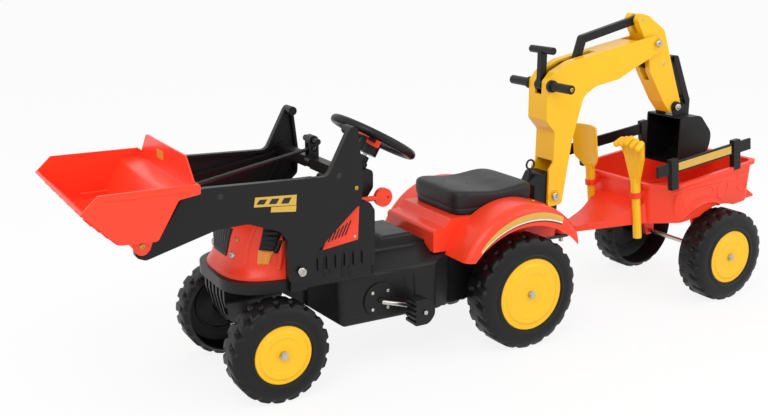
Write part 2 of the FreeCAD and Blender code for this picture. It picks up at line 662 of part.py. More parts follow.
def chassis_hull(inset):
    """The moulded chassis as the common part of its side, plan and front outlines, drawn in by an inset."""
    length = CHASSIS_FRONT_X - CHASSIS_REAR_X
    height = CHASSIS_TOP - CHASSIS_BOTTOM
    sides = shaped(CHASSIS_SHARES, CHASSIS_REAR_X, length, CHASSIS_BOTTOM, height, FRAME_CORNER)
    width = CHASSIS_HALF_WIDTH
    left = shaped(CHASSIS_PLAN_SHARES, CHASSIS_REAR_X, length, 0, width, FRAME_CORNER)
    plan = left + [(x, -y, r) for x, y, r in reversed(left)]
    crease = CHASSIS_BOTTOM + height * CREASE_SHARE
    tunnel = width * TUNNEL_SHARE
    front = [(-width, CHASSIS_BOTTOM, FRAME_CORNER / 3), (width, CHASSIS_BOTTOM, FRAME_CORNER / 3),
             (width, crease, FRAME_CORNER / 2), (tunnel, CHASSIS_TOP - FRAME_CORNER, FRAME_CORNER / 3),
             (tunnel, CHASSIS_TOP, FRAME_CORNER / 3), (-tunnel, CHASSIS_TOP, FRAME_CORNER / 3),
             (-tunnel, CHASSIS_TOP - FRAME_CORNER, FRAME_CORNER / 3), (-width, crease, FRAME_CORNER / 2)]
    side_view = Part.Face(outline(sides, lambda u, v: point(u, -width, v)))
    plan_view = Part.Face(outline(plan, lambda u, v: point(u, v, CHASSIS_BOTTOM)))
    front_view = Part.Face(outline(front, lambda u, v: point(CHASSIS_REAR_X, u, v)))
    if inset:
        side_view = side_view.makeOffset2D(-inset)
        plan_view = plan_view.makeOffset2D(-inset)
        front_view = front_view.makeOffset2D(-inset)
    return side_view.extrude(point(0, 2 * width, 0)).common(
        plan_view.extrude(point(0, 0, height))).common(front_view.extrude(point(length, 0, 0)))


def grille_stem():
    """The front stem that carries the axle, with upright ribs that follow its bow."""
    length = STEM_FRONT_X - STEM_REAR_X
    height = PLATFORM_BOTTOM - STEM_BOTTOM
    rounded = shaped(STEM_SHARES, STEM_REAR_X, length, STEM_BOTTOM, height, FRAME_CORNER)
    set_back = shaped(STEM_SHARES, STEM_REAR_X, length - GRILLE_RIB_PROUD, STEM_BOTTOM, height, FRAME_CORNER)
    wide = STEM_HALF_WIDTH
    taper = front_prism([(-wide / 3, STEM_BOTTOM, 0), (wide / 3, STEM_BOTTOM, 0),
                         (wide, PLATFORM_BOTTOM - height / 3, FRAME_CORNER), (wide, PLATFORM_BOTTOM, 0),
                         (-wide, PLATFORM_BOTTOM, 0), (-wide, PLATFORM_BOTTOM - height / 3, FRAME_CORNER)],
                        STEM_REAR_X, STEM_FRONT_X)
    pitch = (2 * wide - GRILLE_RIB_WIDTH) / (GRILLE_RIB_COUNT - 1)
    pieces = [side_prism(set_back, -wide, wide)]
    for index in range(GRILLE_RIB_COUNT):
        low = index * pitch - wide
        pieces.append(side_prism(rounded, low, low + GRILLE_RIB_WIDTH))
    return joined(pieces).common(taper)


def chassis_shell():
    """The black base moulding: hollow belly, bonnet platform, grille stem and loader pivot lugs."""
    hull = chassis_hull(0)
    hollow = chassis_hull(WALL)
    wide = PLATFORM_HALF_WIDTH
    platform = plan_prism([(DASH_REAR_X, -wide, FRAME_CORNER / 2), (PLATFORM_FRONT_X, -wide, BONNET_CORNER),
                           (PLATFORM_FRONT_X, wide, BONNET_CORNER), (DASH_REAR_X, wide, FRAME_CORNER / 2)],
                          PLATFORM_BOTTOM, PLATFORM_TOP)
    lug_outer = ARM_INNER_Y - GAP
    lug_foot = block(LOADER_PIVOT_X - LOADER_PIVOT_LUG, LOADER_PIVOT_X + LOADER_PIVOT_LUG,
                     wide - FRAME_CORNER, lug_outer, PLATFORM_BOTTOM, PLATFORM_TOP)
    lug_inner = BONNET_HALF_WIDTH + GAP
    pivot_lug = cross_rod(LOADER_PIVOT_X, LOADER_PIVOT_Z, LOADER_PIVOT_LUG, lug_inner, lug_outer).fuse(
        block(LOADER_PIVOT_X - LOADER_PIVOT_LUG, LOADER_PIVOT_X + LOADER_PIVOT_LUG, lug_inner, lug_outer,
              PLATFORM_BOTTOM, LOADER_PIVOT_Z))
    lugs = [lug_foot, pivot_lug, mirrored(lug_foot), mirrored(pivot_lug)]
    opened = moved(hollow, 0, 0, -2 * WALL)
    cowl_room = block(DASH_REAR_X, CHASSIS_FRONT_X + OVERRUN, -wide, wide, PLATFORM_TOP, HOOD_TOP)
    shell = joined([hull.cut([hollow, opened, cowl_room]), platform, grille_stem()] + lugs)
    bush = AXLE_RADIUS + BUSH_WALL + 2 * RUNNING
    crank_bush = CRANK_ROD_RADIUS + BUSH_WALL + 2 * RUNNING
    reach = ARM_INNER_Y + OVERRUN
    holes = [cross_rod(0, REAR_WHEEL_RADIUS, bush, -reach, reach),
             cross_rod(CRANK_X, CRANK_Z, crank_bush, -reach, reach),
             cross_rod(LOADER_PIVOT_X, LOADER_PIVOT_Z, BOLT_RADIUS + RUNNING, lug_inner - OVERRUN, reach),
             cross_rod(LOADER_PIVOT_X, LOADER_PIVOT_Z, BOLT_RADIUS + RUNNING, -reach, OVERRUN - lug_inner),
             rod(column_point(CHASSIS_TOP + FRAME_CORNER), column_point(CHASSIS_BOTTOM), SHAFT_RADIUS + GAP)]
    return shell.cut(holes).removeSplitter()


def front_axle_beam():
    """The steel front beam under the stem, with a sleeve for a king pin at each end."""
    z = FRONT_WHEEL_RADIUS
    sleeve = upright(FRONT_AXLE_X, KINGPIN_Y, SLEEVE_RADIUS, z - SLEEVE_HEIGHT / 2, z + SLEEVE_HEIGHT / 2)
    beam = cross_rod(FRONT_AXLE_X, z, BEAM_RADIUS, -KINGPIN_Y, KINGPIN_Y)
    saddle = block(FRONT_AXLE_X - BEAM_RADIUS, FRONT_AXLE_X + BEAM_RADIUS, -STEM_HALF_WIDTH / 3,
                   STEM_HALF_WIDTH / 3, z, STEM_BOTTOM)
    body = joined([beam, saddle, sleeve, mirrored(sleeve)])
    bore = upright(FRONT_AXLE_X, KINGPIN_Y, KINGPIN_RADIUS + RUNNING, z - SLEEVE_HEIGHT, z + SLEEVE_HEIGHT)
    return body.cut([bore, mirrored(bore)])


def shaft_bushes():
    """Flanged nylon bushes for the rear axle and the crank, pushed in from outside."""
    bushes = []
    places = [(0, REAR_WHEEL_RADIUS, AXLE_RADIUS, TAIL_HALF_WIDTH),
              (CRANK_X, CRANK_Z, CRANK_ROD_RADIUS, CHASSIS_HALF_WIDTH)]
    for x, z, radius, wall in places:
        inner = wall - 2 * WALL
        outer = wall + (BUSH_FLANGE if radius == AXLE_RADIUS else 0)
        ring = cross_rod(x, z, radius + BUSH_WALL + RUNNING, inner, outer)
        if radius == AXLE_RADIUS:
            ring = ring.fuse(cross_rod(x, z, radius + 2 * BUSH_WALL, wall, outer))
        bush = ring.cut(cross_rod(x, z, radius + RUNNING, inner - OVERRUN, outer + OVERRUN))
        bushes += [bush, mirrored(bush)]
    return group(bushes)


# Bonnet, cowl and trim
def bonnet_form(grow):
    """The lofted bonnet block, grown outwards by a given amount."""
    length = BONNET_FRONT_X - BONNET_REAR_X
    height = BONNET_TOP - PLATFORM_TOP
    wires = []
    for rise, reach, width in BONNET_LEVEL_SHARES:
        z = PLATFORM_TOP + rise * (height + grow)
        front = BONNET_REAR_X + reach * length + grow
        half = BONNET_HALF_WIDTH * width + grow
        corner = BONNET_CORNER * width + grow
        wires.append(outline([(BONNET_REAR_X, -half, WALL), (front, -half, corner), (front, half, corner),
                              (BONNET_REAR_X, half, WALL)], lambda u, v, z=z: point(u, v, z)))
    return Part.makeLoft(wires, True)


def bonnet():
    """The red nose shell, open below and behind."""
    inner = bonnet_form(-WALL)
    opened = moved(inner, -2 * WALL, 0, 0)
    return bonnet_form(0).cut([inner, opened])


def on_bonnet(prism):
    """The part of a prism that forms a thin skin on the bonnet."""
    return prism.common(bonnet_form(TRIM_DEPTH)).cut(bonnet_form(GAP))


def lamp_prism(low_share, high_share):
    length = BONNET_FRONT_X - BONNET_REAR_X
    height = BONNET_TOP - PLATFORM_TOP
    x0 = BONNET_REAR_X + LAMP_REAR_SHARE * length
    corners = shaped(HEADLIGHT_SHARES, x0, LAMP_LENGTH_SHARE * length, PLATFORM_TOP + low_share * height,
                     (high_share - low_share) * height, FRAME_CORNER / 2)
    return side_prism(corners, BONNET_HALF_WIDTH / 2, 2 * BONNET_HALF_WIDTH)


def bonnet_trim():
    """Black headlight hoods on the corners and a black vent down the nose."""
    hood = on_bonnet(lamp_prism(*LAMP_LEVEL_SHARES[1:]))
    height = BONNET_TOP - PLATFORM_TOP
    corners = shaped(NOSE_VENT_SHARES, 0, NOSE_VENT_WIDTH_SHARE * BONNET_HALF_WIDTH,
                     PLATFORM_TOP + NOSE_VENT_LOW_SHARE * height, NOSE_VENT_HEIGHT_SHARE * height,
                     FRAME_CORNER / 3)
    nose = front_prism(corners, BONNET_FRONT_X - BONNET_CORNER, BONNET_FRONT_X + BONNET_CORNER)
    return group([hood, mirrored(hood), on_bonnet(nose)])


def headlight_lenses():
    """Amber lenses below the headlight hoods."""
    return pair(on_bonnet(lamp_prism(*LAMP_LEVEL_SHARES[:2])))


def dash_profile():
    return shaped(DASH_SHARES, DASH_REAR_X, BONNET_REAR_X - DASH_REAR_X, PLATFORM_TOP,
                  DASH_TOP - PLATFORM_TOP, FRAME_CORNER)


def dashboard():
    """The black cowl behind the bonnet, with the instrument hood and the steering column's shroud."""
    wide = DASH_HALF_WIDTH
    cowl = side_prism(dash_profile(), -wide, wide)
    hood_profile = shaped(HOOD_SHARES, HOOD_REAR_X, HOOD_FRONT_X - HOOD_REAR_X,
                          DASH_TOP - FRAME_CORNER, HOOD_TOP - DASH_TOP + FRAME_CORNER, FRAME_CORNER)
    hood = side_prism(hood_profile, -HOOD_HALF_WIDTH, HOOD_HALF_WIDTH)
    hollow = inset_prism(dash_profile(), WALL, WALL - wide, wide - WALL)
    opened = moved(hollow, 0, 0, -2 * WALL)
    shroud = rod(column_point(HOOD_TOP - FRAME_CORNER), column_point(PLATFORM_TOP + FRAME_CORNER),
                 SHROUD_RADIUS)
    body = joined([cowl.cut([hollow, opened]), hood, shroud])
    height = LOUVRE_HIGH_Z - LOUVRE_LOW_Z
    proud = wide + LOUVRE_PROUD
    ribs = []
    for index in range(LOUVRE_COUNT):
        x = LOUVRE_FIRST_X + index * LOUVRE_PITCH
        rib = front_prism([(wide - WALL, LOUVRE_LOW_Z, 0), (proud, LOUVRE_LOW_Z + LOUVRE_PROUD, 0),
                           (proud, LOUVRE_LOW_Z + height * LOUVRE_FACE_SHARE, 0),
                           (wide - WALL, LOUVRE_HIGH_Z, 0)],
                          x - LOUVRE_WIDTH / 2, x + LOUVRE_WIDTH / 2)
        ribs += [rib, mirrored(rib)]
    column = rod(column_point(HOOD_TOP + FRAME_CORNER), column_point(CHASSIS_BOTTOM), SHAFT_RADIUS + RUNNING)
    barrel = rod(point(DASH_REAR_X - OVERRUN, KEY_Y, KEY_Z), point(DASH_REAR_X + KEY_DEPTH, KEY_Y, KEY_Z),
                 KEY_STEM_RADIUS + RUNNING)
    lock = rod(point(DASH_REAR_X, KEY_Y, KEY_Z), point(DASH_REAR_X + KEY_DEPTH, KEY_Y, KEY_Z),
               KEY_STEM_RADIUS + WALL)
    return joined([body, lock] + ribs).cut([column, barrel])


def side_vents():
    """Red panels on the cowl's sides with slanted slots."""
    length = BONNET_REAR_X - DASH_REAR_X
    height = DASH_TOP - LOUVRE_HIGH_Z
    start, rise, run, reach = PANEL_SHARES
    corners = shaped(VENT_SHARES, DASH_REAR_X + start * length, run * length, LOUVRE_HIGH_Z + rise * height,
                     reach * height, FRAME_CORNER / 3)
    low = DASH_HALF_WIDTH
    panel = side_prism(corners, low, low + VENT_THICKNESS)
    slots = []
    for index in range(VENT_SLOT_COUNT):
        share = (index + 1) / (VENT_SLOT_COUNT + 1)
        x = DASH_REAR_X + (SLOT_START_SHARE + SLOT_RUN_SHARE * share) * length
        z = LOUVRE_HIGH_Z + SLOT_RISE_SHARE * height
        rise = SLOT_LONG_SHARE - SLOT_SHORTENING_SHARE * share
        top = (x - SLOT_LEAN_SHARE * length, z + rise * height)
        slots.append(strap((x, z), top, VENT_SLOT_WIDTH / 2, low - OVERRUN, low + VENT_THICKNESS + OVERRUN))
    return pair(panel.cut(slots))


# Steering
def steering_frame(shape):
    """Places a shape drawn about the Z axis on the steering column, with its origin at the wheel's centre."""
    placed = shape.copy()
    placed.rotate(point(0, 0, 0), point(0, 1, 0), COLUMN_ANGLE - 90)
    placed.translate(point(STEERING_WHEEL_X, 0, STEERING_WHEEL_Z))
    return placed


def steering_wheel():
    """Rim, three flat spokes and a dished hub with a pocket for the horn."""
    rim = Part.makeTorus(STEERING_WHEEL_RADIUS, STEERING_RIM_RADIUS)
    hub = upright(0, 0, STEERING_HUB_RADIUS, -STEERING_DISH - STEERING_HUB_DEPTH, -STEERING_DISH / 2)
    pieces = [rim, hub]
    for index in range(SPOKE_COUNT):
        spoke = front_prism([(-SPOKE_WIDTH / 2, -SPOKE_THICKNESS / 2, SPOKE_THICKNESS / 3),
                             (SPOKE_WIDTH / 2, -SPOKE_THICKNESS / 2, SPOKE_THICKNESS / 3),
                             (SPOKE_WIDTH / 2, SPOKE_THICKNESS / 2, SPOKE_THICKNESS / 3),
                             (-SPOKE_WIDTH / 2, SPOKE_THICKNESS / 2, SPOKE_THICKNESS / 3)],
                            0, math.hypot(STEERING_WHEEL_RADIUS, STEERING_DISH))
        lean = math.degrees(math.atan2(STEERING_DISH, STEERING_WHEEL_RADIUS))
        spoke.rotate(point(0, 0, 0), point(0, 1, 0), -lean)
        spoke.translate(point(0, 0, -STEERING_DISH))
        spoke.rotate(point(0, 0, 0), point(0, 0, 1), 180 + 360 * index / SPOKE_COUNT)
        pieces.append(spoke)
    pocket = upright(0, 0, HORN_RADIUS + GAP, -STEERING_DISH - HORN_HEIGHT, STEERING_DISH)
    bore = upright(0, 0, SHAFT_RADIUS + RUNNING, -STEERING_DISH - STEERING_HUB_DEPTH - OVERRUN, 0)
    return steering_frame(joined(pieces).cut([pocket, bore]))


def horn_button():
    """The red horn push, standing on its spring stem in the hub's pocket."""
    low = -STEERING_DISH - HORN_HEIGHT + HORN_TRAVEL + GAP
    cap = upright(0, 0, HORN_RADIUS, low, low + HORN_HEIGHT)
    drop = HORN_RADIUS * HORN_DOME_DROP_SHARE
    dome = Part.makeSphere(HORN_RADIUS * HORN_DOME_SHARE, point(0, 0, low + HORN_HEIGHT - drop))
    return steering_frame(cap.common(dome))


def shaft_foot():
    """The low end of the steering column, from where its crank reaches down to the tie rod."""
    return column_point(tie_rod_z() + STEERING_ARM * math.cos(math.radians(COLUMN_ANGLE)))


def shaft_ball():
    """Centre of the ball at the end of the steering shaft's crank."""
    lean = math.radians(COLUMN_ANGLE)
    return shaft_foot() - point(math.sin(lean), 0, math.cos(lean)) * STEERING_ARM


def steering_shaft():
    """The bent steering rod: column, crank and a ball that works in the tie rod's slot."""
    down = (shaft_foot() - column_point(STEERING_WHEEL_Z)).normalize()
    top = column_point(STEERING_WHEEL_Z) + down * (STEERING_DISH + HORN_HEIGHT + GAP)
    low = shaft_foot()
    return joined([rod(top, low, SHAFT_RADIUS), Part.makeSphere(SHAFT_RADIUS, low),
                   rod(low, shaft_ball(), SHAFT_RADIUS), Part.makeSphere(SHAFT_RADIUS, shaft_ball())])


def ignition_key():
    """The red toy key in the dash, with a round flat head."""
    end = DASH_REAR_X - KEY_STEM_LENGTH
    stem = rod(point(DASH_REAR_X + KEY_DEPTH - GAP, KEY_Y, KEY_Z), point(end, KEY_Y, KEY_Z), KEY_STEM_RADIUS)
    half = KEY_HEAD_THICKNESS / 2
    x = end - KEY_HEAD_RADIUS + KEY_STEM_RADIUS
    head = cross_rod(x, KEY_Z, KEY_HEAD_RADIUS, KEY_Y - half, KEY_Y + half)
    hole = cross_rod(x - KEY_HEAD_RADIUS / 2, KEY_Z, KEY_STEM_RADIUS / 2, KEY_Y - KEY_HEAD_THICKNESS,
                     KEY_Y + KEY_HEAD_THICKNESS)
    return joined([stem, head]).cut(hole)


def tie_rod_z():
    """Middle height of the tie rod, on top of the knuckle arms."""
    plate = FRONT_WHEEL_RADIUS - SLEEVE_HEIGHT / 2 - GAP
    return plate + GAP + TIE_EYE_HEIGHT / 2


def knuckle():
    """Left knuckle: yoke round the beam's sleeve, king pin, stub axle with its nut, and steering arm."""
    z = FRONT_WHEEL_RADIUS
    x = FRONT_AXLE_X
    top = z + SLEEVE_HEIGHT / 2 + GAP
    bottom = z - SLEEVE_HEIGHT / 2 - GAP
    web = KINGPIN_Y + SLEEVE_RADIUS + GAP
    outer = FRONT_OUTER_Y - FRONT_WHEEL_WIDTH
    half = YOKE_HALF_WIDTH
    inner = KINGPIN_Y - half
    pieces = [block(x - half, x + half, inner, outer, top, top + YOKE_THICKNESS),
              block(x - half, x + half, inner, outer, bottom - YOKE_THICKNESS, bottom),
              block(x - half, x + half, web, outer, bottom - YOKE_THICKNESS, top + YOKE_THICKNESS),
              upright(x, KINGPIN_Y, KINGPIN_RADIUS, bottom - YOKE_THICKNESS, top + YOKE_THICKNESS),
              cross_rod(x, z, AXLE_RADIUS, web, FRONT_OUTER_Y - NUT_SEAT),
              moved(nut(FRONT_OUTER_Y - NUT_SEAT), x, 0, z),
              block(x - STEERING_ARM, x, inner, KINGPIN_Y + half, bottom - YOKE_THICKNESS, bottom),
              upright(x - STEERING_ARM, KINGPIN_Y, half, bottom - YOKE_THICKNESS, bottom),
              upright(x - STEERING_ARM, KINGPIN_Y, PIN_RADIUS, bottom,
                      bottom + GAP + TIE_EYE_HEIGHT + YOKE_THICKNESS)]
    return joined(pieces)


def tie_rod():
    """The bar between both knuckle arms, with a slotted tongue for the steering shaft's ball."""
    x = FRONT_AXLE_X - STEERING_ARM
    low = tie_rod_z() - TIE_EYE_HEIGHT / 2
    high = tie_rod_z() + TIE_EYE_HEIGHT / 2
    slot_half = SHAFT_RADIUS + STEER_PLAY
    slot_x = shaft_ball().x
    slot = block(slot_x - slot_half, slot_x + 2 * slot_half, -slot_half, slot_half, low - OVERRUN,
                 high + OVERRUN)
    wide = slot_half + WALL
    tongue = block(slot_x - wide, x, -wide, wide, low, high)
    eye = upright(x, KINGPIN_Y, TIE_EYE_RADIUS, low, high)
    bar = block(x - TIE_ROD_RADIUS, x + TIE_ROD_RADIUS, -KINGPIN_Y, KINGPIN_Y, low, high)
    bore = upright(x, KINGPIN_Y, PIN_RADIUS + RUNNING, low - OVERRUN, high + OVERRUN)
    return joined([bar, tongue, eye, mirrored(eye)]).cut([bore, mirrored(bore), slot])


# Pedal drive
def crank_end(side):
    """The pedal axle's place (x, z), opposite on the two sides."""
    angle = math.radians(CRANK_ANGLE)
    return (CRANK_X - side * CRANK_RADIUS * math.cos(angle), CRANK_Z - side * CRANK_RADIUS * math.sin(angle))


def crank_shaft():
    """One bent steel rod: shaft, two opposite arms and the pedal axles."""
    pieces = []
    outer = PEDAL_INNER_Y + PEDAL_WIDTH + CRANK_ROD_RADIUS
    for side in (1, -1):
        x, z = crank_end(side)
        corner = point(CRANK_X, side * CRANK_ARM_Y, CRANK_Z)
        elbow = point(x, side * CRANK_ARM_Y, z)
        pieces += [rod(point(CRANK_X, 0, CRANK_Z), corner, CRANK_ROD_RADIUS),
                   Part.makeSphere(CRANK_ROD_RADIUS, corner), rod(corner, elbow, CRANK_ROD_RADIUS),
                   Part.makeSphere(CRANK_ROD_RADIUS, elbow),
                   rod(elbow, point(x, side * outer, z), CRANK_ROD_RADIUS)]
    return joined(pieces)


def pedal(side):
    """A block pedal, flat on one side and round on the other, with tread grooves."""
    x, z = crank_end(side)
    corners = shaped(PEDAL_SHARES, x, -PEDAL_LENGTH, z, PEDAL_HEIGHT, PEDAL_LENGTH / 4)
    low = PEDAL_INNER_Y
    high = low + PEDAL_WIDTH
    body = side_prism(corners, low, high)
    front = x + PEDAL_LENGTH / 2
    grooves = [block(front - PEDAL_GROOVE, front + OVERRUN, low - OVERRUN, high + OVERRUN,
                     z + share * PEDAL_HEIGHT - PEDAL_GROOVE / 2, z + share * PEDAL_HEIGHT + PEDAL_GROOVE / 2)
               for share in GROOVE_SHARES]
    bore = cross_rod(x, z, CRANK_ROD_RADIUS + RUNNING, low - OVERRUN, high + OVERRUN)
    left = body.cut(grooves + [bore])
    return left if side > 0 else mirrored(left)


def crank_covers():
    """Round black covers over the crank openings."""
    low = CHASSIS_HALF_WIDTH
    high = low + CRANK_COVER_THICKNESS
    disc = cross_rod(CRANK_X, CRANK_Z, CRANK_COVER_RADIUS, low, high)
    bore = cross_rod(CRANK_X, CRANK_Z, CRANK_ROD_RADIUS + GAP, low - OVERRUN, high + OVERRUN)
    return pair(disc.cut(bore))


def toothed_wheel(x, z, radius, teeth, bore):
    """A flat chain wheel with trapezoid teeth."""
    root = radius - TOOTH_HEIGHT
    corners = []
    for index in range(teeth):
        for share, reach in ((TOOTH_ROOT_SHARES[0], root), (TOOTH_TIP_SHARES[0], radius),
                             (TOOTH_TIP_SHARES[1], radius), (TOOTH_ROOT_SHARES[1], root)):
            angle = 2 * math.pi * (index + share) / teeth
            corners.append(point(x + reach * math.cos(angle), CHAIN_Y, z + reach * math.sin(angle)))
    disc = Part.Face(Part.makePolygon(corners + corners[:1])).extrude(point(0, CHAIN_WIDTH, 0))
    return disc.cut(cross_rod(x, z, bore, CHAIN_Y - OVERRUN, CHAIN_Y + CHAIN_WIDTH + OVERRUN))


def chain_ring():
    return toothed_wheel(CRANK_X, CRANK_Z, CHAIN_RING_RADIUS, CHAIN_RING_TEETH, CRANK_ROD_RADIUS + RUNNING)


def rear_sprocket():
    return toothed_wheel(0, REAR_WHEEL_RADIUS, SPROCKET_RADIUS, SPROCKET_TEETH, AXLE_RADIUS + RUNNING)


def chain_loop(first, second):
    """The solid inside a belt line round both chain wheels with the given radii."""
    rise = CRANK_Z - REAR_WHEEL_RADIUS
    span = math.hypot(CRANK_X, rise)
    lean = math.atan2(rise, CRANK_X)
    offset = math.acos((second - first) / span)
    corners = []
    for x, z, radius, angles in ((0, REAR_WHEEL_RADIUS, second, (lean + offset, lean - offset)),
                                 (CRANK_X, CRANK_Z, first, (lean - offset, lean + offset))):
        corners += [point(x + radius * math.cos(a), CHAIN_Y, z + radius * math.sin(a)) for a in angles]
    web = Part.Face(Part.makePolygon(corners + corners[:1])).extrude(point(0, CHAIN_WIDTH, 0))
    high = CHAIN_Y + CHAIN_WIDTH
    return joined([web, cross_rod(0, REAR_WHEEL_RADIUS, second, CHAIN_Y, high),
                   cross_rod(CRANK_X, CRANK_Z, first, CHAIN_Y, high)])


def drive_chain():
    """The chain as a plain closed band that rides on both chain wheels."""
    inner = chain_loop(CHAIN_RING_RADIUS + GAP, SPROCKET_RADIUS + GAP)
    outer = chain_loop(CHAIN_RING_RADIUS + CHAIN_THICKNESS, SPROCKET_RADIUS + CHAIN_THICKNESS)
    return outer.cut(inner)


# Seat and fenders
def seat():
    """The black saddle: a moulded block with a rounded edge and a dip from front to rear."""
    middle = (SEAT_FRONT_X + SEAT_REAR_X) / 2
    half_length = (SEAT_FRONT_X - SEAT_REAR_X) / 2
    wires = []
    for rise, share in SEAT_LEVEL_SHARES:
        z = SEAT_BOTTOM + rise * (SEAT_TOP - SEAT_BOTTOM)
        x = half_length * share
        y = SEAT_HALF_WIDTH * share
        wires.append(outline([(middle - x, -y, SEAT_CORNER), (middle + x, -y, SEAT_CORNER),
                              (middle + x, y, SEAT_CORNER), (middle - x, y, SEAT_CORNER)],
                             lambda u, v, z=z: point(u, v, z)))
    block_form = Part.makeLoft(wires, True)
    radius = (half_length ** 2 + SEAT_DIP ** 2) / (2 * SEAT_DIP)
    dip = cross_rod(middle, SEAT_TOP - SEAT_DIP + radius, radius, -2 * SEAT_HALF_WIDTH, 2 * SEAT_HALF_WIDTH)
    hollow = block(SEAT_REAR_X + 3 * WALL, SEAT_FRONT_X - 3 * WALL, 3 * WALL - SEAT_HALF_WIDTH,
                   SEAT_HALF_WIDTH - 3 * WALL, SEAT_BOTTOM - OVERRUN, SEAT_TOP - SEAT_DIP - 3 * WALL)
    return block_form.cut([dip, hollow])


def fender_disc(radius, low, high, roll):
    """A disc about the fender's centre with its outer rim rolled over."""
    disc = cross_rod(FENDER_X, FENDER_Z, radius, low, high)
    return disc.makeFillet(roll, [edge for edge in disc.Edges if abs(edge.CenterOfMass.y - high) < RUNNING])


def fender_deck():
    """The red seat base with both fenders, hollow below and trimmed to the chassis."""
    length = DECK_FRONT_X - DECK_REAR_X
    profile = shaped(DECK_SHARES, DECK_REAR_X, length, DECK_BOTTOM, SEAT_BOTTOM - DECK_BOTTOM, FRAME_CORNER)
    centre = side_prism(profile, -DECK_HALF_WIDTH, DECK_HALF_WIDTH)
    hollow = inset_prism(profile, WALL, WALL - DECK_HALF_WIDTH, DECK_HALF_WIDTH - WALL)
    opened = moved(hollow, 0, 0, -2 * WALL)
    ribs = [block(x, x + WALL, -DECK_HALF_WIDTH, DECK_HALF_WIDTH, DECK_BOTTOM, SEAT_BOTTOM)
            for x in (DECK_RIB_REAR_X, DECK_RIB_FRONT_X)]
    above = block(FENDER_REAR_X, FENDER_FRONT_X, DECK_HALF_WIDTH, FENDER_OUTER_Y, DECK_BOTTOM,
                  FENDER_Z + FENDER_RADIUS)
    arch = fender_disc(FENDER_RADIUS, DECK_HALF_WIDTH, FENDER_OUTER_Y, FENDER_ROLL).common(above)
    well = fender_disc(FENDER_RADIUS - WALL, DECK_HALF_WIDTH + WALL, FENDER_OUTER_Y - WALL,
                       FENDER_ROLL - WALL)
    edge = cross_rod(FENDER_X, SKIRT_Z, SKIRT_RADIUS, FENDER_OUTER_Y - FENDER_ROLL, FENDER_OUTER_Y + OVERRUN)
    fender = arch.cut([well, edge])
    shell = joined([centre.cut([hollow, opened]), fender, mirrored(fender)] + ribs)
    return shell.cut(chassis_hull(0))


# Front loader
def arm_outline():
    return shaped(ARM_SHARES, LOADER_PIVOT_X, BUCKET_PIVOT_X - LOADER_PIVOT_X, LOADER_PIVOT_Z,
                  GRIP_Z - LOADER_PIVOT_Z, ARM_CORNER)


def loader_arm():
    """The left arm: a plate with a rim and ribs on its inner side, the pull lever and its grip."""
    low = ARM_INNER_Y
    high = low + ARM_THICKNESS
    plate = side_prism(arm_outline(), low, high)
    pocket = inset_prism(arm_outline(), ARM_RIM, low - OVERRUN, high - ARM_SKIN)
    holes = [(LOADER_PIVOT_X, LOADER_PIVOT_Z), (BUCKET_PIVOT_X, BUCKET_PIVOT_Z)]
    seats = holes + [(ELBOW_BAR_X, ELBOW_BAR_Z), (LEVER_BAR_X, LEVER_BAR_Z)]
    solid = [cross_rod(x, z, 2 * BOLT_HEAD_RADIUS, low, high) for x, z in seats]
    ribs = []
    leg, nose, elbow, tower = seats
    for start, end in ((leg, tower), (tower, elbow), (elbow, nose), (leg, elbow)):
        ribs.append(strap(start, end, ARM_RIM / 2, low, high))
    inside = group(solid + ribs)
    stiffened = joined([plate.cut(pocket)] + [shape.common(plate) for shape in inside.Solids])
    grip_x = LOADER_PIVOT_X + (ARM_SHARES[4][0] + ARM_SHARES[5][0]) / 2 * (BUCKET_PIVOT_X - LOADER_PIVOT_X)
    grip = cross_rod(grip_x, GRIP_Z - GRIP_RADIUS / 2, GRIP_RADIUS, high - GRIP_LENGTH, high)
    bores = [cross_rod(x, z, BOLT_RADIUS + RUNNING, low - OVERRUN, high + OVERRUN) for x, z in holes]
    return joined([stiffened, grip]).cut(bores)


def loader_cross_bars():
    """The tube behind the bucket and the lever bar, both between the arms."""
    low = -ARM_INNER_Y
    high = ARM_INNER_Y
    tube = cross_rod(ELBOW_BAR_X, ELBOW_BAR_Z, ELBOW_BAR_RADIUS, low, high).cut(
        cross_rod(ELBOW_BAR_X, ELBOW_BAR_Z, ELBOW_BAR_RADIUS - WALL, low, high))
    half = LEVER_BAR_SIDE / 2
    end = block(LEVER_BAR_X - half, LEVER_BAR_X + half, LEVER_HUB_WIDTH / 2 + GAP, high,
                LEVER_BAR_Z - half, LEVER_BAR_Z + half)
    core = cross_rod(LEVER_BAR_X, LEVER_BAR_Z, LEVER_BAR_RADIUS, low, high)
    return group([tube, joined([core, end, mirrored(end)])])


def headed_bolt(x, z, seat_y, end_y, radius):
    """A bolt along Y whose head stands outwards from its seat."""
    shank = cross_rod(x, z, radius, end_y, seat_y)
    head = cross_rod(x, z, BOLT_HEAD_RADIUS, seat_y, seat_y + BOLT_HEAD_HEIGHT)
    return joined([shank, head])


def loader_bolts():
    """The bucket's pivot bolts, in the ends of the arms."""
    end = ARM_INNER_Y - GAP - SCOOP_LUG_THICKNESS
    return pair(headed_bolt(BUCKET_PIVOT_X, BUCKET_PIVOT_Z, ARM_INNER_Y + ARM_THICKNESS, end, BOLT_RADIUS))


def tilt_eye():
    """The pin of the tilt rod in the lever, above the lever bar."""
    return (LEVER_BAR_X, LEVER_BAR_Z + TILT_LEVER_ARM)


def tilt_pin():
    """The pin of the tilt rod on the bucket's back."""
    return (BUCKET_PIVOT_X - TILT_PIN_BACK, BUCKET_PIVOT_Z + TILT_PIN_RISE)


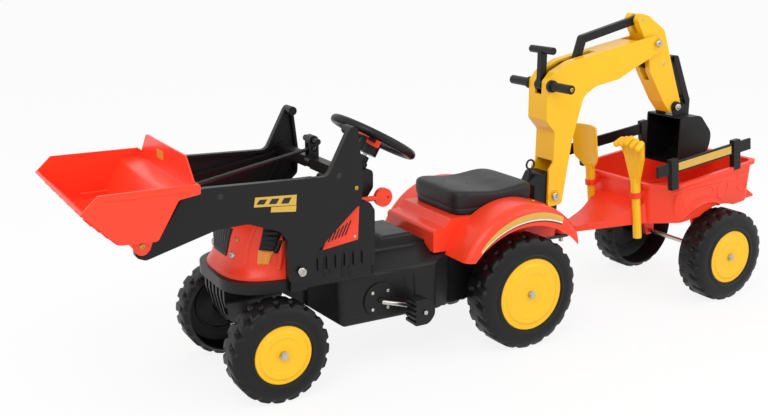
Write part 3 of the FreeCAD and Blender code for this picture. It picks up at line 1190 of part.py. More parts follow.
def tilt_lever():
    """The T lever on the rear cross bar, forked round the tilt rod."""
    half = LEVER_HUB_WIDTH / 2
    top = (LEVER_BAR_X, LEVER_BAR_Z + TILT_LEVER_TOP)
    hub = cross_rod(LEVER_BAR_X, LEVER_BAR_Z, LEVER_BAR_RADIUS + WALL, -half, half)
    stem = strap((LEVER_BAR_X, LEVER_BAR_Z), top, PIN_RADIUS + LINK_PLAY + WALL, -half, half)
    handle = cross_rod(*top, TILT_HANDLE_RADIUS, -TILT_HANDLE_LENGTH / 2, TILT_HANDLE_LENGTH / 2)
    bore = cross_rod(LEVER_BAR_X, LEVER_BAR_Z, LEVER_BAR_RADIUS + RUNNING, -2 * half, 2 * half)
    slack = cross_rod(*tilt_eye(), PIN_RADIUS + LINK_PLAY, -2 * half, 2 * half)
    fork_half = TILT_EYE_HALF_WIDTH + GAP
    reach = EYE_RADIUS + 2 * LINK_PLAY
    fork = block(LEVER_BAR_X - reach, LEVER_BAR_X + reach, -fork_half, fork_half,
                 LEVER_BAR_Z + LEVER_BAR_RADIUS + WALL, tilt_eye()[1] + EYE_RADIUS + LINK_PLAY)
    return joined([hub, stem, handle]).cut([bore, slack, fork])


def tilt_rod():
    """The rod from the bucket's back to the tilt lever, with an eye at the bucket and a cross pin."""
    start = tilt_pin()
    end = tilt_eye()
    width = TILT_EYE_HALF_WIDTH
    bar = rod(point(start[0], 0, start[1]), point(end[0], 0, end[1]), TILT_ROD_RADIUS)
    eye = cross_rod(*start, EYE_RADIUS, -width, width)
    tail = cross_rod(*end, EYE_RADIUS - PIN_RADIUS / 2, -width, width)
    pin = cross_rod(*end, PIN_RADIUS, -LEVER_HUB_WIDTH / 2, LEVER_HUB_WIDTH / 2)
    bore = cross_rod(*start, PIN_RADIUS + RUNNING, -2 * width, 2 * width)
    return joined([bar, eye, tail, pin]).cut(bore)


def scoop_outline(drop):
    """The scoop's side outline, lowered by a given amount."""
    return shaped(SCOOP_SHARES, BUCKET_PIVOT_X - SCOOP_BACK, SCOOP_LENGTH, BUCKET_PIVOT_Z + SCOOP_RISE - drop,
                  SCOOP_HEIGHT, SCOOP_CORNER)


def scoop_ribs(outer):
    """Wide shallow ribs below the scoop's floor, in front of the pivot bolts."""
    wide = SCOOP_HALF_WIDTH
    front = BUCKET_PIVOT_X - SCOOP_BACK + SCOOP_LENGTH - SCOOP_FLANGE
    back = BUCKET_PIVOT_X + 2 * BOLT_HEAD_RADIUS
    low = BUCKET_PIVOT_Z
    high = low + SCOOP_RISE + SCOOP_HEIGHT / 2
    body = side_prism(scoop_outline(SCOOP_RIB_PROUD), -wide, wide).cut(outer)
    pitch = 2 * wide / SCOOP_RIB_COUNT
    ribs = []
    for index in range(SCOOP_RIB_COUNT):
        middle = index * pitch + pitch / 2 - wide
        ribs.append(body.common(block(back, front, middle - SCOOP_RIB_WIDTH / 2, middle + SCOOP_RIB_WIDTH / 2,
                                      low, high)))
    return ribs


def loader_bucket():
    """The red scoop: open shell with a ribbed floor, a crown on its back edge and lugs below."""
    wide = SCOOP_HALF_WIDTH
    rear = BUCKET_PIVOT_X - SCOOP_BACK
    floor = BUCKET_PIVOT_Z + SCOOP_RISE
    top = floor + SCOOP_HEIGHT
    outer = side_prism(scoop_outline(0), -wide, wide)
    inner = inset_prism(scoop_outline(0), WALL, WALL - wide, wide - WALL)
    mouth = [moved(inner, share * WALL, 0, WALL + OVERRUN) for share in (0, 1)]
    shell = outer.cut([inner] + mouth)
    half = SCOOP_CROWN_HALF_WIDTH
    crown = front_prism([(-half, top - SCOOP_FLANGE, 0), (half, top - SCOOP_FLANGE, 0),
                         (half * CROWN_SHARE, top + SCOOP_CROWN, SCOOP_CORNER),
                         (-half * CROWN_SHARE, top + SCOOP_CROWN, SCOOP_CORNER)], rear, rear + WALL)
    lug_high = ARM_INNER_Y - GAP
    lug_low = lug_high - SCOOP_LUG_THICKNESS
    lug_form = side_prism(shaped(SCOOP_LUG_SHARES, BUCKET_PIVOT_X, 2 * BOLT_HEAD_RADIUS, BUCKET_PIVOT_Z,
                                 2 * BOLT_HEAD_RADIUS, BOLT_HEAD_RADIUS), lug_low, lug_high).cut(outer)
    x, z = tilt_pin()
    eye_gap = TILT_EYE_HALF_WIDTH + GAP
    eye_outline = [(x - EYE_RADIUS, z - EYE_RADIUS, EYE_RADIUS), (x + EYE_RADIUS, floor, 0),
                   (BUCKET_PIVOT_X, floor, 0), (BUCKET_PIVOT_X, z + EYE_RADIUS, 0),
                   (x - EYE_RADIUS, z + EYE_RADIUS, EYE_RADIUS)]
    eye = side_prism(eye_outline, eye_gap, eye_gap + WALL + PIN_RADIUS).cut(outer)
    pin = cross_rod(x, z, PIN_RADIUS, -eye_gap - WALL, eye_gap + WALL)
    pieces = [shell, crown, lug_form, mirrored(lug_form), eye, mirrored(eye), pin] + scoop_ribs(outer)
    bore = cross_rod(BUCKET_PIVOT_X, BUCKET_PIVOT_Z, BOLT_RADIUS + RUNNING, -ARM_INNER_Y, ARM_INNER_Y)
    return joined(pieces).cut(bore)


# Rear digger
def digger_mount():
    """The steel bracket on the chassis tail: swivel plate with guide slot, and the drawbar below it."""
    wide = MOUNT_HALF_WIDTH
    rear = DIGGER_X - 2 * SWIVEL_PEG_RADIUS
    plate = block(CHASSIS_REAR_X, DIGGER_X, -wide, wide, MOUNT_PLATE_BOTTOM, MOUNT_PLATE_TOP).fuse(
        upright(DIGGER_X, 0, 2 * SWIVEL_PEG_RADIUS, MOUNT_PLATE_BOTTOM, MOUNT_PLATE_TOP))
    low = HITCH_Z - DRAWBAR_THICKNESS
    bar = block(HITCH_X, CHASSIS_REAR_X, -DRAWBAR_HALF_WIDTH, DRAWBAR_HALF_WIDTH, low, HITCH_Z).fuse(
        upright(HITCH_X, 0, DRAWBAR_HALF_WIDTH, low, HITCH_Z))
    back = block(CHASSIS_REAR_X - DRAWBAR_THICKNESS, CHASSIS_REAR_X, -wide, wide, low, MOUNT_PLATE_TOP)
    peg = upright(DIGGER_X, 0, SWIVEL_PEG_RADIUS + RUNNING, low, MOUNT_PLATE_TOP + OVERRUN)
    swing = (LOCK_PIN_X - DIGGER_X) * math.sin(math.radians(SWIVEL_SWING)) + PIN_RADIUS + GAP
    room = PIN_RADIUS + GAP + RUNNING
    slot = block(LOCK_PIN_X - 2 * room, LOCK_PIN_X + room, -swing, swing, low, MOUNT_PLATE_TOP + OVERRUN)
    pin = upright(HITCH_X, 0, HITCH_PIN_RADIUS + RUNNING, low - OVERRUN, HITCH_Z + OVERRUN)
    return joined([plate, bar, back]).cut([peg.common(block(rear, CHASSIS_REAR_X, -wide, wide, HITCH_Z,
                                                            MOUNT_PLATE_TOP + OVERRUN)), slot, pin])


def hitch_pin():
    """The headed pin that drops through tongue and drawbar."""
    top = HITCH_Z + 2 * GAP + TONGUE_HEIGHT
    return joined([upright(HITCH_X, 0, HITCH_PIN_RADIUS, HITCH_Z - 3 * DRAWBAR_THICKNESS, top),
                   upright(HITCH_X, 0, 2 * HITCH_PIN_RADIUS, top, top + HITCH_PIN_RADIUS)])


def swivel_bracket():
    """The black block that turns on the mount and carries the boom's pivot."""
    half = BOOM_HALF_WIDTH - BOOM_WALL - GAP
    low = MOUNT_PLATE_TOP + GAP
    length = SWIVEL_REAR_X - SWIVEL_FRONT_X
    profile = shaped(SWIVEL_SHARES, SWIVEL_FRONT_X, length, low, SWIVEL_TOP - low, FRAME_CORNER)
    body = side_prism(profile, -half, half)
    peg = upright(DIGGER_X, 0, SWIVEL_PEG_RADIUS, MOUNT_PLATE_BOTTOM, low + OVERRUN)
    bolt = cross_rod(DIGGER_X, BOOM_PIVOT_Z, BOLT_RADIUS + RUNNING, -2 * half, 2 * half)
    pin = upright(LOCK_PIN_X, 0, PIN_RADIUS + RUNNING, low - OVERRUN, SWIVEL_TOP + OVERRUN)
    return joined([body, peg]).cut([bolt, pin])


def lock_pin():
    """The guide pin through the swivel block, with a pull ring."""
    top = SWIVEL_TOP + LOCK_PIN_TOP
    pin = upright(LOCK_PIN_X, 0, PIN_RADIUS, MOUNT_PLATE_BOTTOM + WALL, top)
    ring = Part.makeTorus(LOCK_RING_RADIUS, LOCK_RING_WIRE, point(LOCK_PIN_X, 0, top + LOCK_RING_RADIUS),
                          point(0, 1, 0))
    return joined([pin, ring])


def boom_outline():
    return shaped(BOOM_SHARES, DIGGER_X, STICK_PIVOT_X - DIGGER_X, BOOM_PIVOT_Z, STICK_PIVOT_Z - BOOM_PIVOT_Z,
                  BOOM_CORNER)


def boom():
    """The yellow box boom: two cheeks with walls between them, open at its foot, slot and fork."""
    wide = BOOM_HALF_WIDTH
    room = wide - BOOM_WALL
    shell = side_prism(boom_outline(), -wide, wide).cut(inset_prism(boom_outline(), BOOM_WALL, -room, room))
    height = STICK_PIVOT_Z - BOOM_PIVOT_Z
    reach = DIGGER_X - STICK_PIVOT_X
    foot = block(DIGGER_X - reach, SWIVEL_FRONT_X, -room, room, BOOM_PIVOT_Z - height,
                 BOOM_PIVOT_Z + BOOM_FOOT_SHARE * height)
    front = block(DIGGER_X, SWIVEL_FRONT_X, -room, room, BOOM_PIVOT_Z - height, SWIVEL_TOP + FRAME_CORNER)
    slot = block(DIGGER_X - BOOM_SLOT_SHARE * reach, SWIVEL_FRONT_X, -BOOM_SLOT_HALF_WIDTH,
                 BOOM_SLOT_HALF_WIDTH, BOOM_GRIP_Z - 2 * BOOM_GRIP_RADIUS, STICK_TOP_Z)
    fork = block(STICK_PIVOT_X - reach, STICK_PIVOT_X + BOOM_FORK_SHARE * reach, -room, room, BOOM_GRIP_Z,
                 STICK_TOP_Z)
    bores = [cross_rod(x, z, radius + RUNNING, -2 * wide, 2 * wide) for x, z, radius in (
        (DIGGER_X, BOOM_PIVOT_Z, BOLT_RADIUS), (STICK_PIVOT_X, STICK_PIVOT_Z, BOLT_RADIUS),
        (BOOM_GRIP_X, BOOM_GRIP_Z, BOLT_RADIUS))]
    return shell.cut([foot, front, slot, fork] + bores).removeSplitter()


def boom_grips():
    """Two black handle bars on one steel rod through the boom."""
    spindle = cross_rod(BOOM_GRIP_X, BOOM_GRIP_Z, BOLT_RADIUS, -BOOM_GRIP_REACH, BOOM_GRIP_REACH)
    low = BOOM_HALF_WIDTH
    grip = joined([cross_rod(BOOM_GRIP_X, BOOM_GRIP_Z, BOOM_GRIP_RADIUS, low, BOOM_GRIP_REACH),
                   cross_rod(BOOM_GRIP_X, BOOM_GRIP_Z, BOOM_GRIP_RADIUS * GRIP_COLLAR_SHARE, low,
                             low + BOOM_GRIP_RADIUS)])
    return joined([spindle, grip, mirrored(grip)])


def through_bolt(x, z, half):
    """A bolt with a head on each side of a pair of cheeks."""
    left = headed_bolt(x, z, half, 0, BOLT_RADIUS)
    return joined([left, mirrored(left)])


def boom_bolts():
    return group([through_bolt(DIGGER_X, BOOM_PIVOT_Z, BOOM_HALF_WIDTH),
                  through_bolt(STICK_PIVOT_X, STICK_PIVOT_Z, BOOM_HALF_WIDTH)])


def lever_eye():
    return (BOOM_GRIP_X - STICK_LEVER_RUN, BOOM_GRIP_Z - STICK_LEVER_DROP)


def stick_lever():
    """The T lever of the digger: two plates round the link inside the boom, a stem and a cross handle."""
    inner = STICK_LINK_HALF_WIDTH + GAP
    outer = inner + STICK_LEVER_PLATE
    eye_radius = PIN_RADIUS + LINK_PLAY + WALL
    plate = strap((BOOM_GRIP_X, BOOM_GRIP_Z), lever_eye(), eye_radius, inner, outer).cut(
        cross_rod(*lever_eye(), PIN_RADIUS + LINK_PLAY, 0, 2 * outer))
    hub = cross_rod(BOOM_GRIP_X, BOOM_GRIP_Z, STICK_LEVER_HUB, -outer, outer)
    top = BOOM_GRIP_Z + STICK_LEVER_TOP
    half = STICK_LEVER_HUB * LEVER_STEM_SHARE
    stem = block(BOOM_GRIP_X - half, BOOM_GRIP_X + half, -inner, inner, BOOM_GRIP_Z, top)
    handle = cross_rod(BOOM_GRIP_X, top, STICK_HANDLE_RADIUS, -STICK_HANDLE_LENGTH / 2,
                       STICK_HANDLE_LENGTH / 2)
    bore = cross_rod(BOOM_GRIP_X, BOOM_GRIP_Z, BOLT_RADIUS + RUNNING, -2 * outer, 2 * outer)
    return joined([hub, plate, mirrored(plate), stem, handle]).cut(bore)


def stick_link():
    """The bent black bar from the stick's head over the boom and down to the lever."""
    half = STICK_LINK_HALF_WIDTH
    wide = STICK_LINK_DEPTH / 2
    head = (STICK_TOP_X, STICK_TOP_Z)
    tail = lever_eye()
    run = tail[0] - head[0]
    rise = head[1] - tail[1]
    bend, neck = [(tail[0] - along * run, head[1] - down * rise)
                  for along, down in (LINK_BEND_SHARES, LINK_NECK_SHARES)]
    bar = joined([strap(head, bend, wide, -half, half), strap(bend, neck, wide, -half, half),
                  strap(neck, tail, wide, -half, half)])
    pin = cross_rod(*tail, PIN_RADIUS, -half - STICK_LEVER_PLATE, half + STICK_LEVER_PLATE)
    bore = cross_rod(*head, PIN_RADIUS + RUNNING, -2 * half, 2 * half)
    return joined([bar, pin]).cut(bore)


def stick():
    """The yellow dipper stick with a forked head, a window for the rocker and bores for its bolts."""
    wide = STICK_HALF_WIDTH
    corners = shaped(STICK_SHARES, STICK_PIVOT_X, DIGGER_BUCKET_PIVOT_X - STICK_PIVOT_X, STICK_PIVOT_Z,
                     DIGGER_BUCKET_PIVOT_Z - STICK_PIVOT_Z, STICK_CORNER)
    body = side_prism(corners, -wide, wide)
    drop = STICK_PIVOT_Z - DIGGER_BUCKET_PIVOT_Z
    slot_half = STICK_LINK_HALF_WIDTH + GAP
    fork = block(STICK_PIVOT_X - drop, STICK_TOP_X + drop, -slot_half, slot_half,
                 STICK_PIVOT_Z + STICK_FORK_SHARE * drop, STICK_TOP_Z + drop)
    room = ROCKER_HALF_WIDTH + GAP
    window = block(ROCKER_X - drop, ROCKER_X + drop, -room, room, ROCKER_Z - WINDOW_LOW_SHARE * drop,
                   ROCKER_Z + WINDOW_HIGH_SHARE * drop)
    bores = [cross_rod(x, z, radius + RUNNING, -2 * wide, 2 * wide) for x, z, radius in (
        (STICK_PIVOT_X, STICK_PIVOT_Z, BOLT_RADIUS), (ROCKER_X, ROCKER_Z, PIN_RADIUS),
        (STICK_TOP_X, STICK_TOP_Z, PIN_RADIUS), (DIGGER_BUCKET_PIVOT_X, DIGGER_BUCKET_PIVOT_Z, BOLT_RADIUS))]
    return body.cut([fork, window] + bores)


def stick_bolts():
    """Pins of the stick: link pin at its head, rocker pin, and the bucket's pivot bolt."""
    ear = STICK_HALF_WIDTH + GAP + DIGGER_EAR_THICKNESS
    return group([cross_rod(STICK_TOP_X, STICK_TOP_Z, PIN_RADIUS, -STICK_HALF_WIDTH, STICK_HALF_WIDTH),
                  cross_rod(ROCKER_X, ROCKER_Z, PIN_RADIUS, -STICK_HALF_WIDTH, STICK_HALF_WIDTH),
                  through_bolt(DIGGER_BUCKET_PIVOT_X, DIGGER_BUCKET_PIVOT_Z, ear)])


def rocker_pin():
    return (ROCKER_X - CURL_RUN, ROCKER_Z + CURL_RISE)


def bucket_pin():
    return (DIGGER_BUCKET_PIVOT_X - CURL_RUN, DIGGER_BUCKET_PIVOT_Z + CURL_RISE)


def bucket_rocker():
    """The black rocker through the stick, pointed at its front end, which is pushed to curl the bucket."""
    half = ROCKER_HALF_WIDTH
    wide = PIN_RADIUS * CURL_ARM_SHARE
    arm = strap((ROCKER_X, ROCKER_Z), rocker_pin(), wide, -half, half)
    shoulder = ROCKER_X + ROCKER_POINT_SHARE * ROCKER_TIP
    tip = side_prism([(ROCKER_X, ROCKER_Z - wide, 0), (shoulder, ROCKER_Z - wide, wide),
                      (ROCKER_X + ROCKER_TIP, ROCKER_Z, wide / 2), (shoulder, ROCKER_Z + wide, wide),
                      (ROCKER_X, ROCKER_Z + wide, 0)], -half, half)
    bores = [cross_rod(x, z, PIN_RADIUS + RUNNING, -2 * half, 2 * half)
             for x, z in ((ROCKER_X, ROCKER_Z), rocker_pin())]
    return joined([arm, tip]).cut(bores)


def bucket_link():
    """Two black plates with a pin at each end, from the rocker down to the bucket."""
    inner = ROCKER_HALF_WIDTH + GAP
    outer = inner + LINK_PLATE
    wide = PIN_RADIUS * CURL_ARM_SHARE
    plate = strap(rocker_pin(), bucket_pin(), wide, inner, outer)
    pins = [cross_rod(*place, PIN_RADIUS, -outer, outer) for place in (rocker_pin(), bucket_pin())]
    return joined([plate, mirrored(plate)] + pins)


def digger_bucket():
    """The black digging bucket: round backed shell, two pivot ears and a lug for its link."""
    wide = DIGGER_BUCKET_HALF_WIDTH
    length = DIGGER_BUCKET_REAR_X - DIGGER_BUCKET_MOUTH_X
    corners = shaped(DIGGER_BUCKET_SHARES, DIGGER_BUCKET_MOUTH_X, length, DIGGER_BUCKET_BOTTOM,
                     DIGGER_BUCKET_TOP - DIGGER_BUCKET_BOTTOM, DIGGER_BUCKET_CORNER)
    outer = side_prism(corners, -wide, wide)
    inner = inset_prism(corners, WALL, WALL - wide, wide - WALL)
    shell = outer.cut([inner, moved(inner, 2 * WALL, 0, 0)])
    radius = 2 * BOLT_HEAD_RADIUS * EAR_SHARE
    low = STICK_HALF_WIDTH + GAP
    pivot = (DIGGER_BUCKET_PIVOT_X, DIGGER_BUCKET_PIVOT_Z)
    ear = strap(pivot, (pivot[0] + length * EAR_LEAN_SHARE, DIGGER_BUCKET_TOP - radius), radius, low,
                low + DIGGER_EAR_THICKNESS).cut(outer)
    eye = strap(bucket_pin(), (bucket_pin()[0], DIGGER_BUCKET_TOP - radius), radius, -ROCKER_HALF_WIDTH,
                ROCKER_HALF_WIDTH).cut(outer)
    bores = [cross_rod(*pivot, BOLT_RADIUS + RUNNING, -wide, wide),
             cross_rod(*bucket_pin(), PIN_RADIUS + RUNNING, -wide, wide)]
    return joined([shell, ear, mirrored(ear), eye]).cut(bores)


# Trailer
def on_trailer(shape):
    """Pitches a shape drawn level about the trailer axle and moves it to its place."""
    placed = shape.copy()
    placed.rotate(point(0, 0, 0), point(0, 1, 0), TRAILER_PITCH)
    placed.translate(point(TRAILER_AXLE_X, 0, TRAILER_WHEEL_RADIUS))
    return placed


def bed_level(z, grow):
    """The bed's plan outline at a level height, wider towards the top."""
    rise = (z - BED_FLOOR) / (BED_TOP - BED_FLOOR)
    half = BED_HALF_WIDTH - BED_TAPER * (1 - rise) + grow
    nose = BED_FRONT_HALF_WIDTH - BED_TAPER * (1 - rise) + grow
    front = BED_FRONT - BED_TAPER * (1 - rise) / 2 + grow
    rear = BED_REAR + BED_TAPER * (1 - rise) / 2 - grow
    shoulder = front - (half - nose)
    left = [(rear, half, BED_CORNER), (shoulder, half, BED_CORNER), (front, nose, BED_CORNER)]
    return outline(left + [(x, -y, r) for x, y, r in reversed(left)], lambda u, v: point(u, v, z))


def bed_form(low, high, grow):
    return Part.makeLoft([bed_level(low, grow), bed_level(high, grow)], True)


def wheel_arch(radius, inner):
    return cross_rod(0, 0, radius, inner, 2 * BED_HALF_WIDTH)


def hitch_local():
    """The hitch pin's place in the level trailer frame, as (x, z)."""
    pitch = math.radians(TRAILER_PITCH)
    x = HITCH_X - TRAILER_AXLE_X
    z = HITCH_Z + GAP - TRAILER_WHEEL_RADIUS
    return (x * math.cos(pitch) - z * math.sin(pitch), x * math.sin(pitch) + z * math.cos(pitch))


def trailer_tongue():
    """The wedge from the bed's front wall to the hitch eye."""
    x, z = hitch_local()
    root = BED_FRONT - BED_CORNER
    plan = plan_prism([(root, -TONGUE_ROOT_HALF_WIDTH, 0), (x, -TONGUE_HALF_WIDTH / 2, 0),
                       (x, TONGUE_HALF_WIDTH / 2, 0), (root, TONGUE_ROOT_HALF_WIDTH, 0)], 0, 2 * BED_TOP)
    bend_z = z + TONGUE_HEIGHT * TONGUE_BEND_HEIGHT_SHARE
    bend = (root + (x - root) * TONGUE_BEND_SHARE, bend_z, BED_HALF_WIDTH)
    profile = side_prism([(root, BED_FLOOR, 0), (x, z, 0), (x, z + TONGUE_HEIGHT, 0),
                          bend, (root, BED_FLOOR + TONGUE_ROOT_HEIGHT, 0)], -BED_HALF_WIDTH, BED_HALF_WIDTH)
    return plan.common(profile)


def trailer_bed():
    """The red bed: tub with wheel arches, rim, tailboard lip, tool rings, tongue and axle brackets."""
    tub = bed_form(BED_FLOOR, BED_TOP, 0)
    rim = bed_form(BED_TOP - BED_RIM_HEIGHT, BED_TOP, BED_RIM)
    arch = wheel_arch(TRAILER_WHEEL_RADIUS + ARCH_CLEARANCE, ARCH_INNER_Y)
    arch_skin = wheel_arch(TRAILER_WHEEL_RADIUS + ARCH_CLEARANCE + WALL, ARCH_INNER_Y - WALL)
    room = bed_form(BED_FLOOR + WALL, BED_TOP + OVERRUN, -WALL).cut([arch_skin, mirrored(arch_skin)])
    half = BED_HALF_WIDTH * LIP_SHARE
    lip_root = BED_REAR + BED_TAPER
    lip_end = BED_REAR - TAILBOARD_LEAN
    lip = side_prism([(lip_root, BED_FLOOR, 0), (lip_root, BED_FLOOR + BED_RIM_HEIGHT * 4, 0),
                      (lip_end, BED_FLOOR + WALL, 0), (lip_end, BED_FLOOR, 0)], -half, half)
    bracket_low = AXLE_BRACKET_Y - AXLE_BRACKET_THICKNESS
    wide = AXLE_BRACKET_HALF_LENGTH
    bracket = side_prism([(-wide, BED_FLOOR + WALL, 0), (-2 * AXLE_RADIUS, -2 * AXLE_RADIUS, AXLE_RADIUS),
                          (2 * AXLE_RADIUS, -2 * AXLE_RADIUS, AXLE_RADIUS), (wide, BED_FLOOR + WALL, 0)],
                         bracket_low, AXLE_BRACKET_Y)
    ring_outer = TOOL_HANDLE_RADIUS + GAP + RING_WALL
    ring_x = BED_FRONT + TOOL_REACH
    ring = upright(ring_x, TOOL_Y, ring_outer, RING_Z, RING_Z + RING_HEIGHT).fuse(
        block(BED_FRONT - BED_TAPER, ring_x, TOOL_Y - RING_WALL, TOOL_Y + RING_WALL, RING_Z,
              RING_Z + RING_HEIGHT))
    body = joined([tub, rim, lip, trailer_tongue(), bracket, mirrored(bracket), ring, mirrored(ring)])
    handle = upright(ring_x, TOOL_Y, TOOL_HANDLE_RADIUS + GAP, 0, 2 * BED_TOP)
    posts = [post_cavity(x) for x in (POST_FRONT, POST_REAR)]
    cuts = [room, arch, mirrored(arch), handle, mirrored(handle),
            cross_rod(0, 0, AXLE_RADIUS + RUNNING, -BED_HALF_WIDTH, BED_HALF_WIDTH)]
    placed = on_trailer(body.cut(cuts + posts + [mirrored(p) for p in posts]))
    low = HITCH_Z + GAP
    half = TONGUE_HALF_WIDTH
    eye = upright(HITCH_X, 0, half * EYE_SHARE, low, low + TONGUE_HEIGHT)
    below = block(HITCH_X - half, HITCH_X + half, -half, half, HITCH_Z - TONGUE_HEIGHT, low)
    above = moved(below, 0, 0, 2 * TONGUE_HEIGHT)
    bore = upright(HITCH_X, 0, HITCH_PIN_RADIUS + RUNNING, HITCH_Z - TONGUE_HEIGHT,
                   HITCH_Z + 3 * TONGUE_HEIGHT)
    return joined([placed, eye]).cut([below, above, bore])


def post_cavity(x):
    """The socket in the bed's rim for a rail post."""
    half = POST_WIDTH / 2
    outer = BED_HALF_WIDTH + BED_RIM
    return block(x - half, x + half, outer - POST_THICKNESS, outer + OVERRUN, BED_TOP - BED_RIM_HEIGHT,
                 BED_TOP + OVERRUN)


def bed_rails():
    """A black rail on two posts along each side of the bed."""
    outer = BED_HALF_WIDTH + BED_RIM
    inner = outer - POST_THICKNESS
    half = POST_WIDTH / 2
    middle = (outer + inner) / 2
    pieces = [block(RAIL_REAR, RAIL_FRONT, middle - RAIL_THICKNESS / 2, middle + RAIL_THICKNESS / 2,
                    RAIL_BOTTOM, RAIL_BOTTOM + RAIL_HEIGHT)]
    for x in (POST_FRONT, POST_REAR):
        pieces.append(block(x - half, x + half, inner, outer, BED_TOP - BED_RIM_HEIGHT, POST_TOP))
    return on_trailer(pair(joined(pieces)))


def tool_handle():
    """A round handle standing in front of the bed's left corner."""
    x = BED_FRONT + TOOL_REACH
    grip = upright(x, TOOL_Y, TOOL_HANDLE_RADIUS, TOOL_BOTTOM, TOOL_SHOULDER)
    collar = upright(x, TOOL_Y, TOOL_HANDLE_RADIUS * COLLAR_SHARE, RING_Z + RING_HEIGHT + GAP, TOOL_SHOULDER)
    return [grip, collar]


def spade():
    """The yellow toy spade in the right ring, with a curved blade."""
    x = BED_FRONT + TOOL_REACH
    wide = SPADE_HALF_WIDTH
    neck = TOOL_SHOULDER - TOOL_HANDLE_RADIUS
    shoulder = TOOL_SHOULDER + wide * BLADE_SHOULDER_SHARE
    plan = front_prism([(TOOL_Y - TOOL_HANDLE_RADIUS, neck, 0), (TOOL_Y + TOOL_HANDLE_RADIUS, neck, 0),
                        (TOOL_Y + wide, shoulder, wide / 2), (TOOL_Y + wide, TOOL_TOP, WALL),
                        (TOOL_Y - wide, TOOL_TOP, WALL), (TOOL_Y - wide, shoulder, wide / 2)],
                       x - SPADE_CURVE_RADIUS, x + SPADE_CURVE_RADIUS)
    axis_x = x + SPADE_CURVE_RADIUS - SPADE_THICKNESS / 2
    curve = upright(axis_x, TOOL_Y, SPADE_CURVE_RADIUS, BED_FLOOR, 2 * TOOL_TOP).cut(
        upright(axis_x, TOOL_Y, SPADE_CURVE_RADIUS - SPADE_THICKNESS, BED_FLOOR, 2 * TOOL_TOP))
    near = block(x - SPADE_CURVE_RADIUS, axis_x, 0, 2 * BED_HALF_WIDTH, BED_FLOOR, TOOL_TOP)
    blade = plan.common(curve).common(near)
    return on_trailer(mirrored(joined(tool_handle() + [blade])))


def rake():
    """The yellow hand rake in the left ring, with five curled fingers."""
    x = BED_FRONT + TOOL_REACH
    wide = RAKE_HALF_WIDTH
    palm_top = TOOL_SHOULDER + (TOOL_TOP - TOOL_SHOULDER) * PALM_SHARE
    palm_half = wide * PALM_WIDTH_SHARE
    palm = front_prism([(TOOL_Y - TOOL_HANDLE_RADIUS, TOOL_SHOULDER - TOOL_HANDLE_RADIUS, 0),
                        (TOOL_Y + TOOL_HANDLE_RADIUS, TOOL_SHOULDER - TOOL_HANDLE_RADIUS, 0),
                        (TOOL_Y + palm_half, palm_top, wide / 4), (TOOL_Y - palm_half, palm_top, wide / 4)],
                       x - RAKE_THICKNESS / 2, x + RAKE_THICKNESS / 2)
    pieces = tool_handle() + [palm]
    for index in range(RAKE_FINGER_COUNT):
        share = 2 * index / (RAKE_FINGER_COUNT - 1) - 1
        low = point(x, TOOL_Y + share * wide * FINGER_ROOT_SHARE, palm_top - RAKE_FINGER_RADIUS)
        high = point(x + RAKE_FINGER_RADIUS, TOOL_Y + share * wide * FINGER_SPREAD_SHARE,
                     TOOL_TOP - RAKE_FINGER_RADIUS - abs(share) * RAKE_FINGER_RADIUS)
        curl = high + point(2 * RAKE_FINGER_RADIUS, share * RAKE_FINGER_RADIUS / 2, -RAKE_FINGER_RADIUS)
        pieces += [capsule(low, high, RAKE_FINGER_RADIUS), capsule(high, curl, RAKE_FINGER_RADIUS)]
    return on_trailer(joined(pieces))


def body_screws():
    """Loader pivot bolts and the screws of the crank covers."""
    bolt = headed_bolt(LOADER_PIVOT_X, LOADER_PIVOT_Z, ARM_INNER_Y + ARM_THICKNESS + GAP,
                       BONNET_HALF_WIDTH + GAP, BOLT_RADIUS)
    fasteners = [bolt, mirrored(bolt)]
    face = CHASSIS_HALF_WIDTH + CRANK_COVER_THICKNESS
    for index in range(COVER_SCREW_COUNT):
        angle = math.pi * (2 * index + 1) / COVER_SCREW_COUNT
        x = CRANK_X + COVER_SCREW_CIRCLE * math.cos(angle)
        z = CRANK_Z + COVER_SCREW_CIRCLE * math.sin(angle)
        screw = cross_rod(x, z, SCREW_HEAD_RADIUS, face, face + SCREW_HEAD_HEIGHT)
        fasteners += [screw, mirrored(screw)]
    return group(fasteners)


